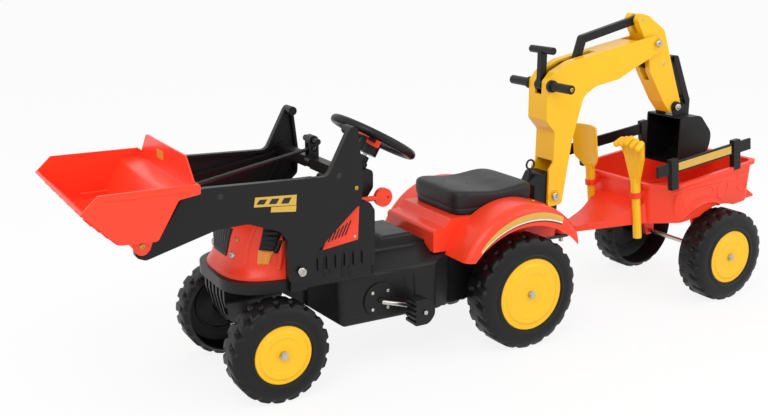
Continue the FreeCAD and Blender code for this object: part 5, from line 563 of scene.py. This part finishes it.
def foil(name, grid, direction, tree, material, body, layers=1):
    """A printed foil laid on its carrier, on top of so many layers."""
    thickness = bpy.context.scene.tractor_sizes.foil
    bm = bmesh.new()
    lay(bm, grid, direction, tree, lambda across, along: thickness * layers, thickness)
    return piece(name, bm, "yellow_plastic" if material == "gold" else "black_plastic", body, material)


def smooth_step(share):
    """A share held between 0 and 1 and eased towards both."""
    held = min(max(share, 0), 1)
    return held * held * (3 - 2 * held)


def eased(share):
    """How far a patch has risen at a share of the way across it, from 0 at its edges to 1."""
    return smooth_step(min(share, 1 - share) / PATCH_EASE_SHARE)


def between(start, end, share):
    """What lies a share of the way from start to end."""
    return start + (end - start) * share


def round_turns(count):
    """Angles all the way round, in so many equal steps."""
    return [2 * math.pi * step / count for step in range(count)]


def rounded_square(turn, squareness):
    """The spot in this direction on a rounded square with a half size of 1."""
    across, along = math.cos(turn), math.sin(turn)
    out = (abs(across) ** squareness + abs(along) ** squareness) ** (-1 / squareness)
    return out * across, out * along


def quad_grid(corners, counts):
    """Spots over a plate with four corners, given in turn round it, in so many columns and rows."""
    a, b, c, d = corners
    columns, rows = counts
    return [[between(between(a, b, i / columns), between(d, c, i / columns), j / rows)
             for i in range(columns + 1)] for j in range(rows + 1)]


def bead(bm, spots, normals, width, height, closed=False):
    """A rounded moulded line along the spots, half sunk; an open one runs out at its ends."""
    count = len(spots)
    turns = round_turns(BEAD_SIDES)
    rings = []
    for index, (spot, normal) in enumerate(zip(spots, normals)):
        ahead = spots[(index + 1) % count] if closed or index + 1 < count else spot
        behind = spots[index - 1] if closed or index else spot
        along = (ahead - behind).normalized()
        across = along.cross(normal).normalized()
        up = across.cross(along)
        share = 1 if closed else min(1, (index + 1) / TAPER_SPOTS, (count - index) / TAPER_SPOTS)
        rings.append([spot + (across * math.cos(turn) * width / 2 + up * math.sin(turn) * height) * share
                      for turn in turns])
    skin(bm, rings, closed)


def draped_bead(bm, path, direction, tree, line, closed=False):
    """A bead laid on a carrier along a smooth line through the path's spots."""
    width, height = line
    spots, normals = [], []
    for spot in smooth_line(path, BEAD_STEPS, closed):
        hit, normal = settle(tree, spot, direction)
        spots.append(hit)
        normals.append(normal)
    bead(bm, spots, normals, width * MM, height * MM, closed)


def side_beads(bm, paths, face, tree, line, closed=False):
    """Beads on both sides of the toy, along paths in X and Z."""
    for side in BOTH_SIDES:
        for path in paths:
            draped_bead(bm, on_side(path, side, face), Vector((0, -side, 0)), tree, line, closed)


def side_patches(bm, outlines, counts, face, tree, rise, sink):
    """Patches on both sides of the toy, from outlines of four corners in X and Z."""
    for side in BOTH_SIDES:
        for outline in outlines:
            grid = quad_grid(on_side(outline, side, face), counts)
            lay(bm, grid, Vector((0, -side, 0)), tree, rise, sink)


def smooth_line(path, steps, closed=False):
    """Spots on a smooth line through the path, so many to each stretch."""
    count = len(path)
    stretches = count if closed else count - 1
    made = []
    for index in range(stretches):
        before = path[index - 1] if closed or index else path[0]
        start, end = path[index], path[(index + 1) % count]
        after = path[(index + 2) % count] if closed or index + 2 < count else end
        for step in range(steps):
            t = step / steps
            made.append(0.5 * (2 * start + (end - before) * t
                               + (2 * before - 5 * start + 4 * end - after) * t ** 2
                               + (3 * start - before - 3 * end + after) * t ** 3))
    if not closed:
        made.append(path[-1])
    return made


def screw(bm, spot, axis, radius, height, lobes=CROSS):
    """A domed screw head with a cross or socket recess, standing on the spot along the axis."""
    side = axis.orthogonal().normalized()
    other = axis.cross(side)
    rings = []
    for reach, rise, recess in SCREW_SECTION_SHARES:
        ring = []
        for turn in round_turns(SCREW_SEGMENTS):
            swell = 1 + recess * LOBE_SHARE * math.cos(lobes * turn)
            out = side * math.cos(turn) + other * math.sin(turn)
            ring.append(spot + out * radius * reach * swell + axis * height * rise)
        rings.append(ring)
    skin(bm, rings)


# Tyres
def tyre_rings(radius, half, cap, sizes):
    """Rings of the hollow wheel's section, as radius, side place and share of the notch depth."""
    recess = half - sizes.cap_recess
    end = HUB_PLAY * MM - half
    wall = sizes.tyre_wall
    tread = radius - sizes.notch_depth
    dish = tread - wall
    back = recess - wall
    lip = wall / 3
    bore, hub = sizes.bore_radius, sizes.hub_radius
    side = (cap + tread) / 2
    flat = half * SHOULDER_SHARE
    crown = half * BLOCK_SHARE
    rib = half * RIB_SHARE
    steps = [between(hub, dish, share) for share in DISC_STEP_SHARES]
    return [
        (bore, recess, 0), (cap, recess, 0), (cap, half - lip, 0), (cap + lip / 3, half - lip / 3, 0),
        (cap + lip, half, 0), (cap + 2 * lip, half, 0), (cap + 2.6 * lip, half - lip / 3, 0),
        (cap + 3.2 * lip, half - lip * 0.9, 0), (cap + 4 * lip, half - lip * 0.9, 0),
        (side, half - lip / 3, 0), (between(side, tread, WALL_BULGE_SHARE), half - lip, 0),
        (tread - lip, half - 1.9 * lip, 0.0), (tread + lip / 2, half - 2.5 * lip, 0.45),
        (radius - lip * 1.5, flat + lip * 1.1, 0.9), (radius - lip / 2, flat + lip / 3, 1),
        (radius, flat - lip, 1),
        (radius, crown + lip, 1), (radius, crown, 1), (radius, rib, 0), (radius, 0, 0), (radius, -rib, 0),
        (radius, -crown, 1), (radius, -crown - lip, 1), (radius, lip - flat, 1),
        (radius - lip / 2, -flat - lip / 3, 1), (radius - lip * 1.5, -flat - lip * 1.1, 0.9),
        (tread + lip / 2, 2.5 * lip - half, 0.45), (tread - lip, 1.2 * lip - half, 0),
        (tread - 2 * lip, -half, 0),
        (dish + lip / 2, -half, 0), (dish, lip / 2 - half, 0), (dish, back - lip, 0), (dish - lip, back, 0),
        (steps[0], back, 0), (steps[1], back - lip, 0), (steps[2], back - lip, 0), (steps[3], back, 0),
        (hub + lip, back, 0), (hub, back - lip, 0), (hub, end + lip, 0), (hub - lip / 2, end, 0),
        (bore, end, 0)]


def notch_share(turn, y, half, count):
    """How far a spot on the tread lies in a notch, from 0 to 1."""
    stagger = 0 if y > 0 else NOTCH_STAGGER_SHARE
    phase = turn * count / (2 * math.pi) + stagger + NOTCH_SWEEP_SHARE * abs(y) / half
    away = abs(phase - round(phase))
    full, ended = NOTCH_SOFT_SHARES
    return smooth_step((ended - away) / (ended - full))


def add_tyre(bm, x, z, middle, side, radius, half, cap, sizes):
    """One wheel about a cross axle, with its outer face on the given side."""
    rings = []
    for reach, y, depth in tyre_rings(radius, half, cap, sizes):
        ring = []
        for turn in round_turns(RING_SEGMENTS):
            cut = depth * sizes.notch_depth * notch_share(turn, y, half, sizes.notch_count) if depth else 0
            ring.append(Vector((x + (reach - cut) * math.cos(turn), side * (middle + y),
                                z + (reach - cut) * math.sin(turn))))
        rings.append(ring)
    skin(bm, rings, True)


class TRACTOR_OT_tyres(bpy.types.Operator):
    """Hollow moulded wheels with notched shoulders, a lip round the cap and a ringed inner side"""
    bl_idname = "tractor.tyres"
    bl_label = "Tyres"

    def execute(self, context):
        sizes = context.scene.tractor_sizes
        wheels = (("front_tyre_left", "front_rim_left", "front_wheel_left", None, (1,)),
                  ("front_tyre_right", "front_rim_right", "front_wheel_right", None, (-1,)),
                  ("rear_tyres", "rear_rims", "rear_wheels", sizes.rear_width, BOTH_SIDES),
                  ("trailer_tyres", "trailer_rims", "trailer_wheels", sizes.trailer_width, BOTH_SIDES))
        for node, rim, body, width, sides in wheels:
            low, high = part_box(node)
            cap_low, cap_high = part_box(rim)
            outer = max(high.y, -low.y)
            if width is None:
                width = high.y - low.y
            bm = bmesh.new()
            for side in sides:
                add_tyre(bm, (low.x + high.x) / 2, (low.z + high.z) / 2, outer - width / 2, side,
                         (high.x - low.x) / 2, width / 2, (cap_high.x - cap_low.x) / 2 + CAP_PLAY * MM, sizes)
            piece(node.replace("tyre", "treaded_tyre"), bm, "wheel_plastic", body, stands_for=(node,),
                  sharp=TREAD_SHARP_ANGLE)
        return {"FINISHED"}


# Seat
class TRACTOR_OT_seat(bpy.types.Operator):
    """The rolled seat with its dip, the line above its base and two screws"""
    bl_idname = "tractor.seat"
    bl_label = "Seat"

    def execute(self, context):
        sizes = context.scene.tractor_sizes
        low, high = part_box("seat")
        middle = (low + high) / 2
        half = (high - low) / 2
        bm = bmesh.new()
        rings = []
        for reach, rise in SEAT_RING_SHARES:
            ring = []
            for turn in round_turns(SEAT_SEGMENTS):
                x, y = [reach * part for part in rounded_square(turn, SEAT_SQUARENESS)]
                sag = max(0, 1 - (x / SEAT_DIP_SHARE) ** 2) ** 2 * max(0, rise * 2 - 1)
                z = low.z + rise * (high.z - low.z) - sizes.seat_dip * sag
                ring.append(Vector((middle.x + x * half.x, middle.y + y * half.y, z)))
            rings.append(ring)
        skin(bm, rings)
        seat = piece("rolled_seat", bm, "seat_plastic", "tractor", stands_for=("seat",))
        tree = surface_tree(seat)
        bm = bmesh.new()
        for x, y in SEAT_SCREWS:
            hit, normal = settle(tree, at(x, y, high.z / MM), Vector((0, 0, -1)))
            screw(bm, hit, normal, SEAT_SCREW_RADIUS * MM, SEAT_SCREW_HEIGHT * MM)
        piece("seat_screws", bm, "black_steel", "tractor")
        return {"FINISHED"}


# Prints
class TRACTOR_OT_prints(bpy.types.Operator):
    """Plain printed plates and the fender stripes, laid on what carries them"""
    bl_idname = "tractor.prints"
    bl_label = "Prints"

    def execute(self, context):
        fender = carrier("fender_deck")
        rails = carrier("bed_rails")
        for side, name in SIDE_NAMES.items():
            inwards = Vector((0, -side, 0))
            arm = carrier("loader_arm_" + name)
            prints = [("plate", ARM_PLATE, "gold", 1), ("strip", ARM_STRIP, "gold", 1)]
            prints += [("bar_%d" % index, outline, "black", 2) for index, outline in enumerate(ARM_BARS)]
            for label, outline, ink, layers in prints:
                grid = quad_grid(on_side(outline, side, ARM_FACE_Y), ARM_GRID)
                foil("arm_%s_%s" % (label, name), grid, inwards, arm, ink, "loader", layers)
            corners = [on_trailer(x, side * RAIL_FACE_Y, z) for x, z in RAIL_PLATE]
            foil("rail_plate_" + name, quad_grid(corners, RAIL_GRID), inwards, rails, "gold", "trailer")
            for label, (lower, upper, bow) in STRIPE_BANDS.items():
                grid = []
                for row in range(STRIPE_ROWS + 1):
                    line = []
                    for step in range(STRIPE_STEPS + 1):
                        share = step / STRIPE_STEPS
                        turn = math.radians(between(*STRIPE_ANGLES, share))
                        top = between(*upper, share) + bow * STRIPE_BULGE * 4 * share * (1 - share)
                        radius = between(between(*lower, share), top, row / STRIPE_ROWS)
                        line.append(at(STRIPE_CENTRE[0] + radius * math.cos(turn), side * FENDER_FACE_Y,
                                       STRIPE_CENTRE[1] + radius * math.sin(turn)))
                    grid.append(line)
                foil("fender_%s_%s" % (label, name), grid, inwards, fender, label, "tractor")
        grid = quad_grid([at(CROWN_FACE_X, y, z) for y, z in CROWN_PLATE], CROWN_GRID)
        foil("crown_plate", grid, Vector((-1, 0, 0)), carrier("loader_bucket"), "gold", "scoop")
        return {"FINISHED"}


# Bonnet
class TRACTOR_OT_bonnet(bpy.types.Operator):
    """The rounded nose with its ridges, the lamps with ribbed hoods and the slatted vent"""
    bl_idname = "tractor.bonnet"
    bl_label = "Bonnet"

    def execute(self, context):
        low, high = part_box("bonnet")
        rings = []
        for rise, width, reach in BONNET_RING_SHARES:
            ring = []
            for step in range(BONNET_STEPS + 1):
                turn = math.pi * step / BONNET_STEPS - math.pi / 2
                side, ahead = math.sin(turn), max(math.cos(turn), 0)
                y = math.copysign(abs(side) ** (2 / BONNET_SQUARENESS), side) * width * high.y
                x = low.x + ahead ** (2 / BONNET_SQUARENESS) * reach * (high.x - low.x)
                ring.append(Vector((x, y, between(low.z, high.z, rise))))
            rings.append(ring)
        bm = bmesh.new()
        skin(bm, rings)
        nose = piece("sculpted_bonnet", bm, "red_plastic", "tractor", stands_for=("bonnet",))
        shell = surface_tree(nose)
        lenses, hoods, ridges = bmesh.new(), bmesh.new(), bmesh.new()
        rise, rib, dome = TRIM_RISE * MM, TRIM_RIB * MM, LENS_RISE * MM

        def lens_height(across, along):
            flute = 1 - FLUTE_SHARE * abs(math.sin(LENS_FLUTES * math.pi * across))
            return rise + eased(across) * eased(along) * dome * flute

        def hood_height(across, along):
            return rise + eased(across) * rib * abs(math.sin(HOOD_RIBS * math.pi * along))

        def vent_height(across, along):
            return rise + eased(along) * rib * abs(math.sin(NOSE_SLATS * math.pi * across))

        side_patches(lenses, (LENS_CORNERS,), LENS_GRID, BONNET_FACE_Y, shell, lens_height, rise)
        side_patches(hoods, (HOOD_CORNERS,), HOOD_GRID, BONNET_FACE_Y, shell, hood_height, rise)
        side_beads(hoods, (BEZEL_PATH,), BONNET_FACE_Y, shell, LINE_BROAD)
        side_beads(ridges, BONNET_RIDGES, BONNET_FACE_Y, shell, LINE_BROAD)
        vent = quad_grid([at(NOSE_VENT_X, y, z) for y, z in NOSE_VENT], VENT_GRID)
        lay(hoods, vent, Vector((-1, 0, 0)), shell, vent_height, rise)
        piece("lamp_lenses", lenses, "amber_lens", "tractor", stands_for=("headlight_lenses",))
        piece("lamp_hoods_and_vent", hoods, "black_plastic", "tractor", stands_for=("bonnet_trim",))
        piece("bonnet_ridges", ridges, "red_plastic", "tractor")
        return {"FINISHED"}


# Moulded lines
class TRACTOR_OT_body_lines(bpy.types.Operator):
    """Louvres of the cowl, raised lines along the chassis and the cheeks between cowl and bonnet"""
    bl_idname = "tractor.body_lines"
    bl_label = "Body lines"

    def execute(self, context):
        hull = carrier("dashboard", "chassis_shell")
        bm = bmesh.new()
        half, drop = LOUVRE_HALF_WIDTH, LOUVRE_DROP
        louvre = ((half, 0), (half, half - drop), (0, -drop), (-half, half - drop), (-half, 0))
        paths = [[(x + dx, z + dz) for dx, dz in louvre] for x, z in LOUVRE_CENTRES]
        paths += CHASSIS_LINES
        side_beads(bm, paths, COWL_FACE_Y, hull, LINE_FINE)
        for side in BOTH_SIDES:
            rings = []
            for y, inset in CHEEK_RINGS:
                ring = on_side(CHEEK_OUTLINE, side, y)
                middle = sum(ring, Vector()) / len(ring)
                rings.append([spot + (middle - spot).normalized() * inset * MM for spot in ring])
            skin(bm, rings)
        piece("chassis_lines", bm, "black_plastic", "tractor")
        return {"FINISHED"}


class TRACTOR_OT_side_panels(bpy.types.Operator):
    """The red panels on both sides of the cowl, with flat black strips painted as the shade in each slanted
    slot
    """
    bl_idname = "tractor.side_panels"
    bl_label = "Side panels"

    def execute(self, context):
        cowl = carrier("dashboard")
        bm, shade_strips = bmesh.new(), bmesh.new()
        rise = PANEL_RISE * MM
        thickness = context.scene.tractor_sizes.foil

        def panel_height(across, along):
            return rise * (1 + eased(across) * eased(along)) / 2

        side_patches(bm, (PANEL_CORNERS,), PANEL_GRID, PANEL_FACE_Y, cowl, panel_height, rise)
        panels = piece("side_panels", bm, "red_plastic", "tractor", stands_for=("side_vents",))
        half = SLOT_WIDTH / 2
        outlines = []
        for index in range(SLOT_COUNT):
            share = index / (SLOT_COUNT - 1)
            foot, top = [[between(a, b, share) for a, b in zip(*line)] for line in (SLOT_FEET, SLOT_TOPS)]
            outlines.append(((foot[0] + half, foot[1]), (foot[0] - half, foot[1]),
                             (top[0] - half, top[1]), (top[0] + half, top[1])))
        # Painted shade: flat black strips laid on each panel stand in for the shade inside each slanted slot
        side_patches(shade_strips, outlines, SLOT_GRID, PANEL_FACE_Y, surface_tree(panels),
                     lambda across, along: thickness, thickness)
        piece("painted_slot_shade", shade_strips, "black_plastic", "tractor")
        return {"FINISHED"}


class TRACTOR_OT_column(bpy.types.Operator):
    """The red horn covers under the steering wheel and the black sleeve round the shaft"""
    bl_idname = "tractor.column"
    bl_label = "Steering column"

    def execute(self, context):
        down = Vector((math.sin(COLUMN_SLANT), 0, -math.cos(COLUMN_SLANT)))
        ahead = Vector((math.cos(COLUMN_SLANT), 0, math.sin(COLUMN_SLANT)))
        aside = Vector((0, 1, 0))
        top = at(*COLUMN_TOP)
        turns = round_turns(COLUMN_SEGMENTS)
        covers, sleeve = bmesh.new(), bmesh.new()
        for side in BOTH_SIDES:
            rings = []
            for y, share in HORN_RINGS:
                ring = []
                for turn in turns:
                    along, forward = rounded_square(turn, HORN_SQUARENESS)
                    lengthways = down * (HORN_MIDDLE[0] + HORN_HALF[0] * share * along)
                    forwards = ahead * (HORN_MIDDLE[1] + HORN_HALF[1] * share * forward)
                    ring.append(top + (lengthways + forwards + aside * side * y) * MM)
                rings.append(ring)
            skin(covers, rings)
        skin(sleeve, [[top + (down * along + (ahead * math.cos(turn) + aside * math.sin(turn)) * radius) * MM
                       for turn in turns] for along, radius in SLEEVE_RINGS])
        piece("horn_covers", covers, "red_plastic", "steering")
        piece("column_sleeve", sleeve, "black_plastic", "tractor")
        return {"FINISHED"}


class TRACTOR_OT_bed_lines(bpy.types.Operator):
    """Pressed panels, wheel arch lines and rim line of the trailer bed"""
    bl_idname = "tractor.bed_lines"
    bl_label = "Bed lines"

    def execute(self, context):
        bed = carrier("trailer_bed")
        bm = bmesh.new()
        side_beads(bm, BED_LINES, BED_FACE_Y, bed, LINE_BROAD)
        side_beads(bm, BED_FRAMES, BED_FACE_Y, bed, LINE_FINE, True)
        piece("bed_panels", bm, "red_plastic", "trailer")
        return {"FINISHED"}


class TRACTOR_OT_scoop_lines(bpy.types.Operator):
    """Rims, lip ridges, scalloped floor and pivot lugs with their screws on the loader's bucket"""
    bl_idname = "tractor.scoop_lines"
    bl_label = "Bucket lines"

    def execute(self, context):
        scoop = carrier("loader_bucket")
        bm, heads = bmesh.new(), bmesh.new()
        low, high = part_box("loader_bolts")
        pivot = (low + high) / 2
        inner = ARM_FACE_Y + LUG_GAP
        outer = inner + LUG_THICKNESS
        side_beads(bm, (SCOOP_RIM,), SCOOP_FACE_Y, scoop, LINE_RIM)
        for side in BOTH_SIDES:
            rings = []
            for y, inset in ((inner, 0), (outer - LUG_ROUNDING, 0), (outer, LUG_ROUNDING)):
                rings.append([Vector((pivot.x + (x - math.copysign(inset, x)) * MM, side * y * MM,
                                      pivot.z + (z + inset) * MM)) for x, z in LUG_OUTLINE])
            skin(bm, rings)
            spot = Vector((pivot.x, side * outer * MM, pivot.z))
            screw(heads, spot, Vector((0, side, 0)), LUG_SCREW_RADIUS * MM, LUG_SCREW_HEIGHT * MM, CROSS)
        piece("scoop_pivot_heads", heads, "zinc_steel", "scoop", "brass")
        for z in LIP_LEVELS:
            path = [at(LIP_FACE_X, share * LIP_HALF_WIDTH, z) for share in LIP_SPOT_SHARES]
            draped_bead(bm, path, Vector((-1, 0, 0)), scoop, LINE_FINE)
        first = -(SCALLOP_COUNT - 1) / 2
        for index in range(SCALLOP_COUNT):
            middle = (first + index) * SCALLOP_PITCH
            path = [Vector((at(x, 0, 0).x, (middle + y) * MM, pivot.z)) for x, y in SCALLOP_ARC]
            draped_bead(bm, path, Vector((0, 0, -1)), scoop, LINE_FINE)
        piece("scoop_lines_and_lugs", bm, "red_plastic", "scoop")
        return {"FINISHED"}


# Fasteners
class TRACTOR_OT_fasteners(bpy.types.Operator):
    """Screw and bolt heads on both sides, rings round the digger's hubs and caps on its grips"""
    bl_idname = "tractor.fasteners"
    bl_label = "Fasteners"

    def execute(self, context):
        heads = defaultdict(bmesh.new)
        for side, name in SIDE_NAMES.items():
            for body, node, spot, aim, radius, height, lobes, finish in PAIRED_SCREWS:
                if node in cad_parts:
                    tree = carrier(node)
                elif node in bpy.data.objects:
                    tree = surface_tree(bpy.data.objects[node])
                else:
                    tree = carrier("%s_%s" % (node, name))
                x, y, z = spot
                hit, normal = settle(tree, at(x, side * y, z), Vector((aim[0], side * aim[1], aim[2])))
                screw(heads[body, finish], hit, normal, radius * MM, height * MM, lobes)
            low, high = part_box("boom_grips")
            end = (low + high) / 2
            end.y = high.y if side > 0 else low.y
            screw(heads["boom_body", "brass"], end, Vector((0, side, 0)), GRIP_END_RADIUS * MM,
                  GRIP_END_HEIGHT * MM, CROSS)
        for (body, finish), bm in heads.items():
            slot = "zinc_steel" if finish == "brass" else finish
            piece("%s_%s_heads" % (body, finish), bm, slot, body, finish)
        rings = bmesh.new()
        circles = [[(x + HUB_RADIUS * math.cos(turn), z + HUB_RADIUS * math.sin(turn))
                    for turn in round_turns(HUB_STEPS)] for x, z in HUB_CENTRES]
        side_beads(rings, circles, HUB_FACE_Y, carrier("boom"), LINE_FINE, True)
        piece("boom_hub_rings", rings, "yellow_plastic", "boom_body")
        return {"FINISHED"}


class TRACTOR_OT_finishes(bpy.types.Operator):
    """Materials for every slot of the solids, and rounded edges on those that show"""
    bl_idname = "tractor.finishes"
    bl_label = "Finishes"

    def execute(self, context):
        sizes = context.scene.tractor_sizes
        colours = context.scene.tractor_colours
        for slot, (name, colour, *values) in FINISH_TABLE.items():
            FINISHES[slot] = surface(name, getattr(colours, colour), *values)
        for name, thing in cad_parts.items():
            for holder in thing.material_slots:
                slot = holder.material.name.split(".")[0]
                holder.material = FINISHES[OTHER_FINISH.get(name, slot)]
            if name not in LEFT_SHARP:
                ease_edges(thing, sizes.bold_edge if name in EASED_BOLDLY else sizes.edge)
        return {"FINISHED"}


# Stage
def seen_by(tree, *rays):
    """A value of 1 for rays of these kinds and 0 for all others."""
    path = add(tree, "LightPath")
    value = path.outputs[rays[0]]
    for ray in rays[1:]:
        value = add(tree, "Math", {"operation": "MAXIMUM"}, {0: value, 1: path.outputs[ray]}).outputs[0]
    return value


def white_surroundings(soft_light):
    """White to the eye and in reflections, and at a softer level where they light the toy."""
    world = bpy.data.worlds.new("White surroundings")
    world.use_nodes = True
    tree = world.node_tree
    tree.nodes.clear()
    seen = seen_by(tree, "Is Camera Ray", "Is Glossy Ray", "Is Transmission Ray")
    level = add(tree, "MapRange", {"To Min": soft_light, "To Max": 1.0}, {"Value": seen})
    sky = add(tree, "Background", {"Color": WHITE}, {"Strength": level.outputs[0]})
    add(tree, "OutputWorld", {}, {"Surface": sky.outputs[0]})
    return world


def floor_paint(paint):
    """Painted studio floor: nearly white to the eye, with the object's soft shadow kept."""
    material, tree = blank_material("Rolled matt paint floor")
    place = add(tree, "TexCoord").outputs["Object"]
    roller = add(tree, "TexNoise", {"Scale": 1 / (FLOOR_PATCH * MM), "Detail": 3.0}, {"Vector": place})
    deep = [share * FLOOR_TONE_SHARE for share in paint]
    tone = add(tree, "Mix", {"data_type": "RGBA", 6: (*paint, 1.0), 7: (*deep, 1.0)}, {0: roller.outputs[0]})
    matt = add(tree, "BsdfDiffuse", {}, {"Color": tone.outputs[2]})
    white = add(tree, "Emission", {"Color": WHITE, "Strength": 1.0})
    seen = seen_by(tree, "Is Camera Ray", "Is Glossy Ray")
    share = add(tree, "MapRange", {"To Max": FLOOR_WHITE_SHARE}, {"Value": seen})
    both = add(tree, "MixShader", {}, {0: share.outputs[0], 1: matt.outputs[0], 2: white.outputs[0]})
    add(tree, "OutputMaterial", {}, {"Surface": both.outputs[0]})
    return material


class TRACTOR_OT_stage(bpy.types.Operator):
    """Pale floor, white surroundings, two soft lamps and the camera"""
    bl_idname = "tractor.stage"
    bl_label = "Stage"

    def execute(self, context):
        scene = context.scene
        stage = scene.tractor_stage
        scene.view_settings.view_transform = "Standard"
        scene.world = white_surroundings(stage.soft_light)

        bm = bmesh.new()
        bmesh.ops.create_circle(bm, cap_ends=True, segments=FLOOR_SEGMENTS, radius=stage.floor_radius)
        mesh = bpy.data.meshes.new("studio_floor")
        bm.to_mesh(mesh)
        bm.free()
        mesh.materials.append(floor_paint(scene.tractor_colours.floor))
        floor = bpy.data.objects.new("studio_floor", mesh)
        floor.location.z = CAD_BOX[0][2]
        scene.collection.objects.link(floor)

        for name, spot, power in (("key_lamp", stage.key_place, stage.key_power),
                                  ("fill_lamp", stage.fill_place, stage.fill_power)):
            light = bpy.data.lights.new(name, "AREA")
            light.energy = power
            light.size = stage.lamp_size
            lamp = bpy.data.objects.new(name, light)
            lamp.location = spot
            lamp.rotation_euler = (Vector(LAMP_AIM) * MM - Vector(spot)).to_track_quat("-Z", "Y").to_euler()
            scene.collection.objects.link(lamp)

        data = bpy.data.cameras.new("camera")
        data.lens = stage.lens
        data.shift_y = stage.shift
        camera = bpy.data.objects.new("camera", data)
        camera.location = stage.place
        level_reach = math.cos(stage.pitch)
        ahead = Vector((math.cos(stage.yaw) * level_reach, math.sin(stage.yaw) * level_reach,
                        -math.sin(stage.pitch)))
        camera.rotation_euler = ahead.to_track_quat("-Z", "Y").to_euler()
        scene.collection.objects.link(camera)
        scene.camera = camera
        return {"FINISHED"}


class TRACTOR_PT_panel(bpy.types.Panel):
    """Lists the steps that dress the tractor"""
    bl_idname = "TRACTOR_PT_panel"
    bl_label = "Pedal tractor"
    bl_space_type = "VIEW_3D"
    bl_region_type = "UI"
    bl_category = "Tractor"

    def draw(self, context):
        for step in STEPS:
            self.layout.operator(step.bl_idname)


GROUPS = (TractorColours, TractorSizes, TractorStage)
STEPS = (TRACTOR_OT_stage, TRACTOR_OT_finishes, TRACTOR_OT_tyres, TRACTOR_OT_seat, TRACTOR_OT_bonnet,
         TRACTOR_OT_side_panels, TRACTOR_OT_column, TRACTOR_OT_body_lines, TRACTOR_OT_scoop_lines,
         TRACTOR_OT_bed_lines, TRACTOR_OT_fasteners, TRACTOR_OT_prints)


def register():
    for group in GROUPS + STEPS + (TRACTOR_PT_panel,):
        bpy.utils.register_class(group)
    bpy.types.Scene.tractor_colours = PointerProperty(type=TractorColours)
    bpy.types.Scene.tractor_sizes = PointerProperty(type=TractorSizes)
    bpy.types.Scene.tractor_stage = PointerProperty(type=TractorStage)


def unregister():
    del bpy.types.Scene.tractor_stage
    del bpy.types.Scene.tractor_sizes
    del bpy.types.Scene.tractor_colours
    for group in reversed(GROUPS + STEPS + (TRACTOR_PT_panel,)):
        bpy.utils.unregister_class(group)


def main():
    register()
    bpy.ops.tractor.stage()
    bpy.ops.tractor.finishes()
    bpy.ops.tractor.tyres()
    bpy.ops.tractor.seat()
    bpy.ops.tractor.bonnet()
    bpy.ops.tractor.side_panels()
    bpy.ops.tractor.column()
    bpy.ops.tractor.body_lines()
    bpy.ops.tractor.scoop_lines()
    bpy.ops.tractor.bed_lines()
    bpy.ops.tractor.fasteners()
    bpy.ops.tractor.prints()


if __name__ == "__main__":
    main()
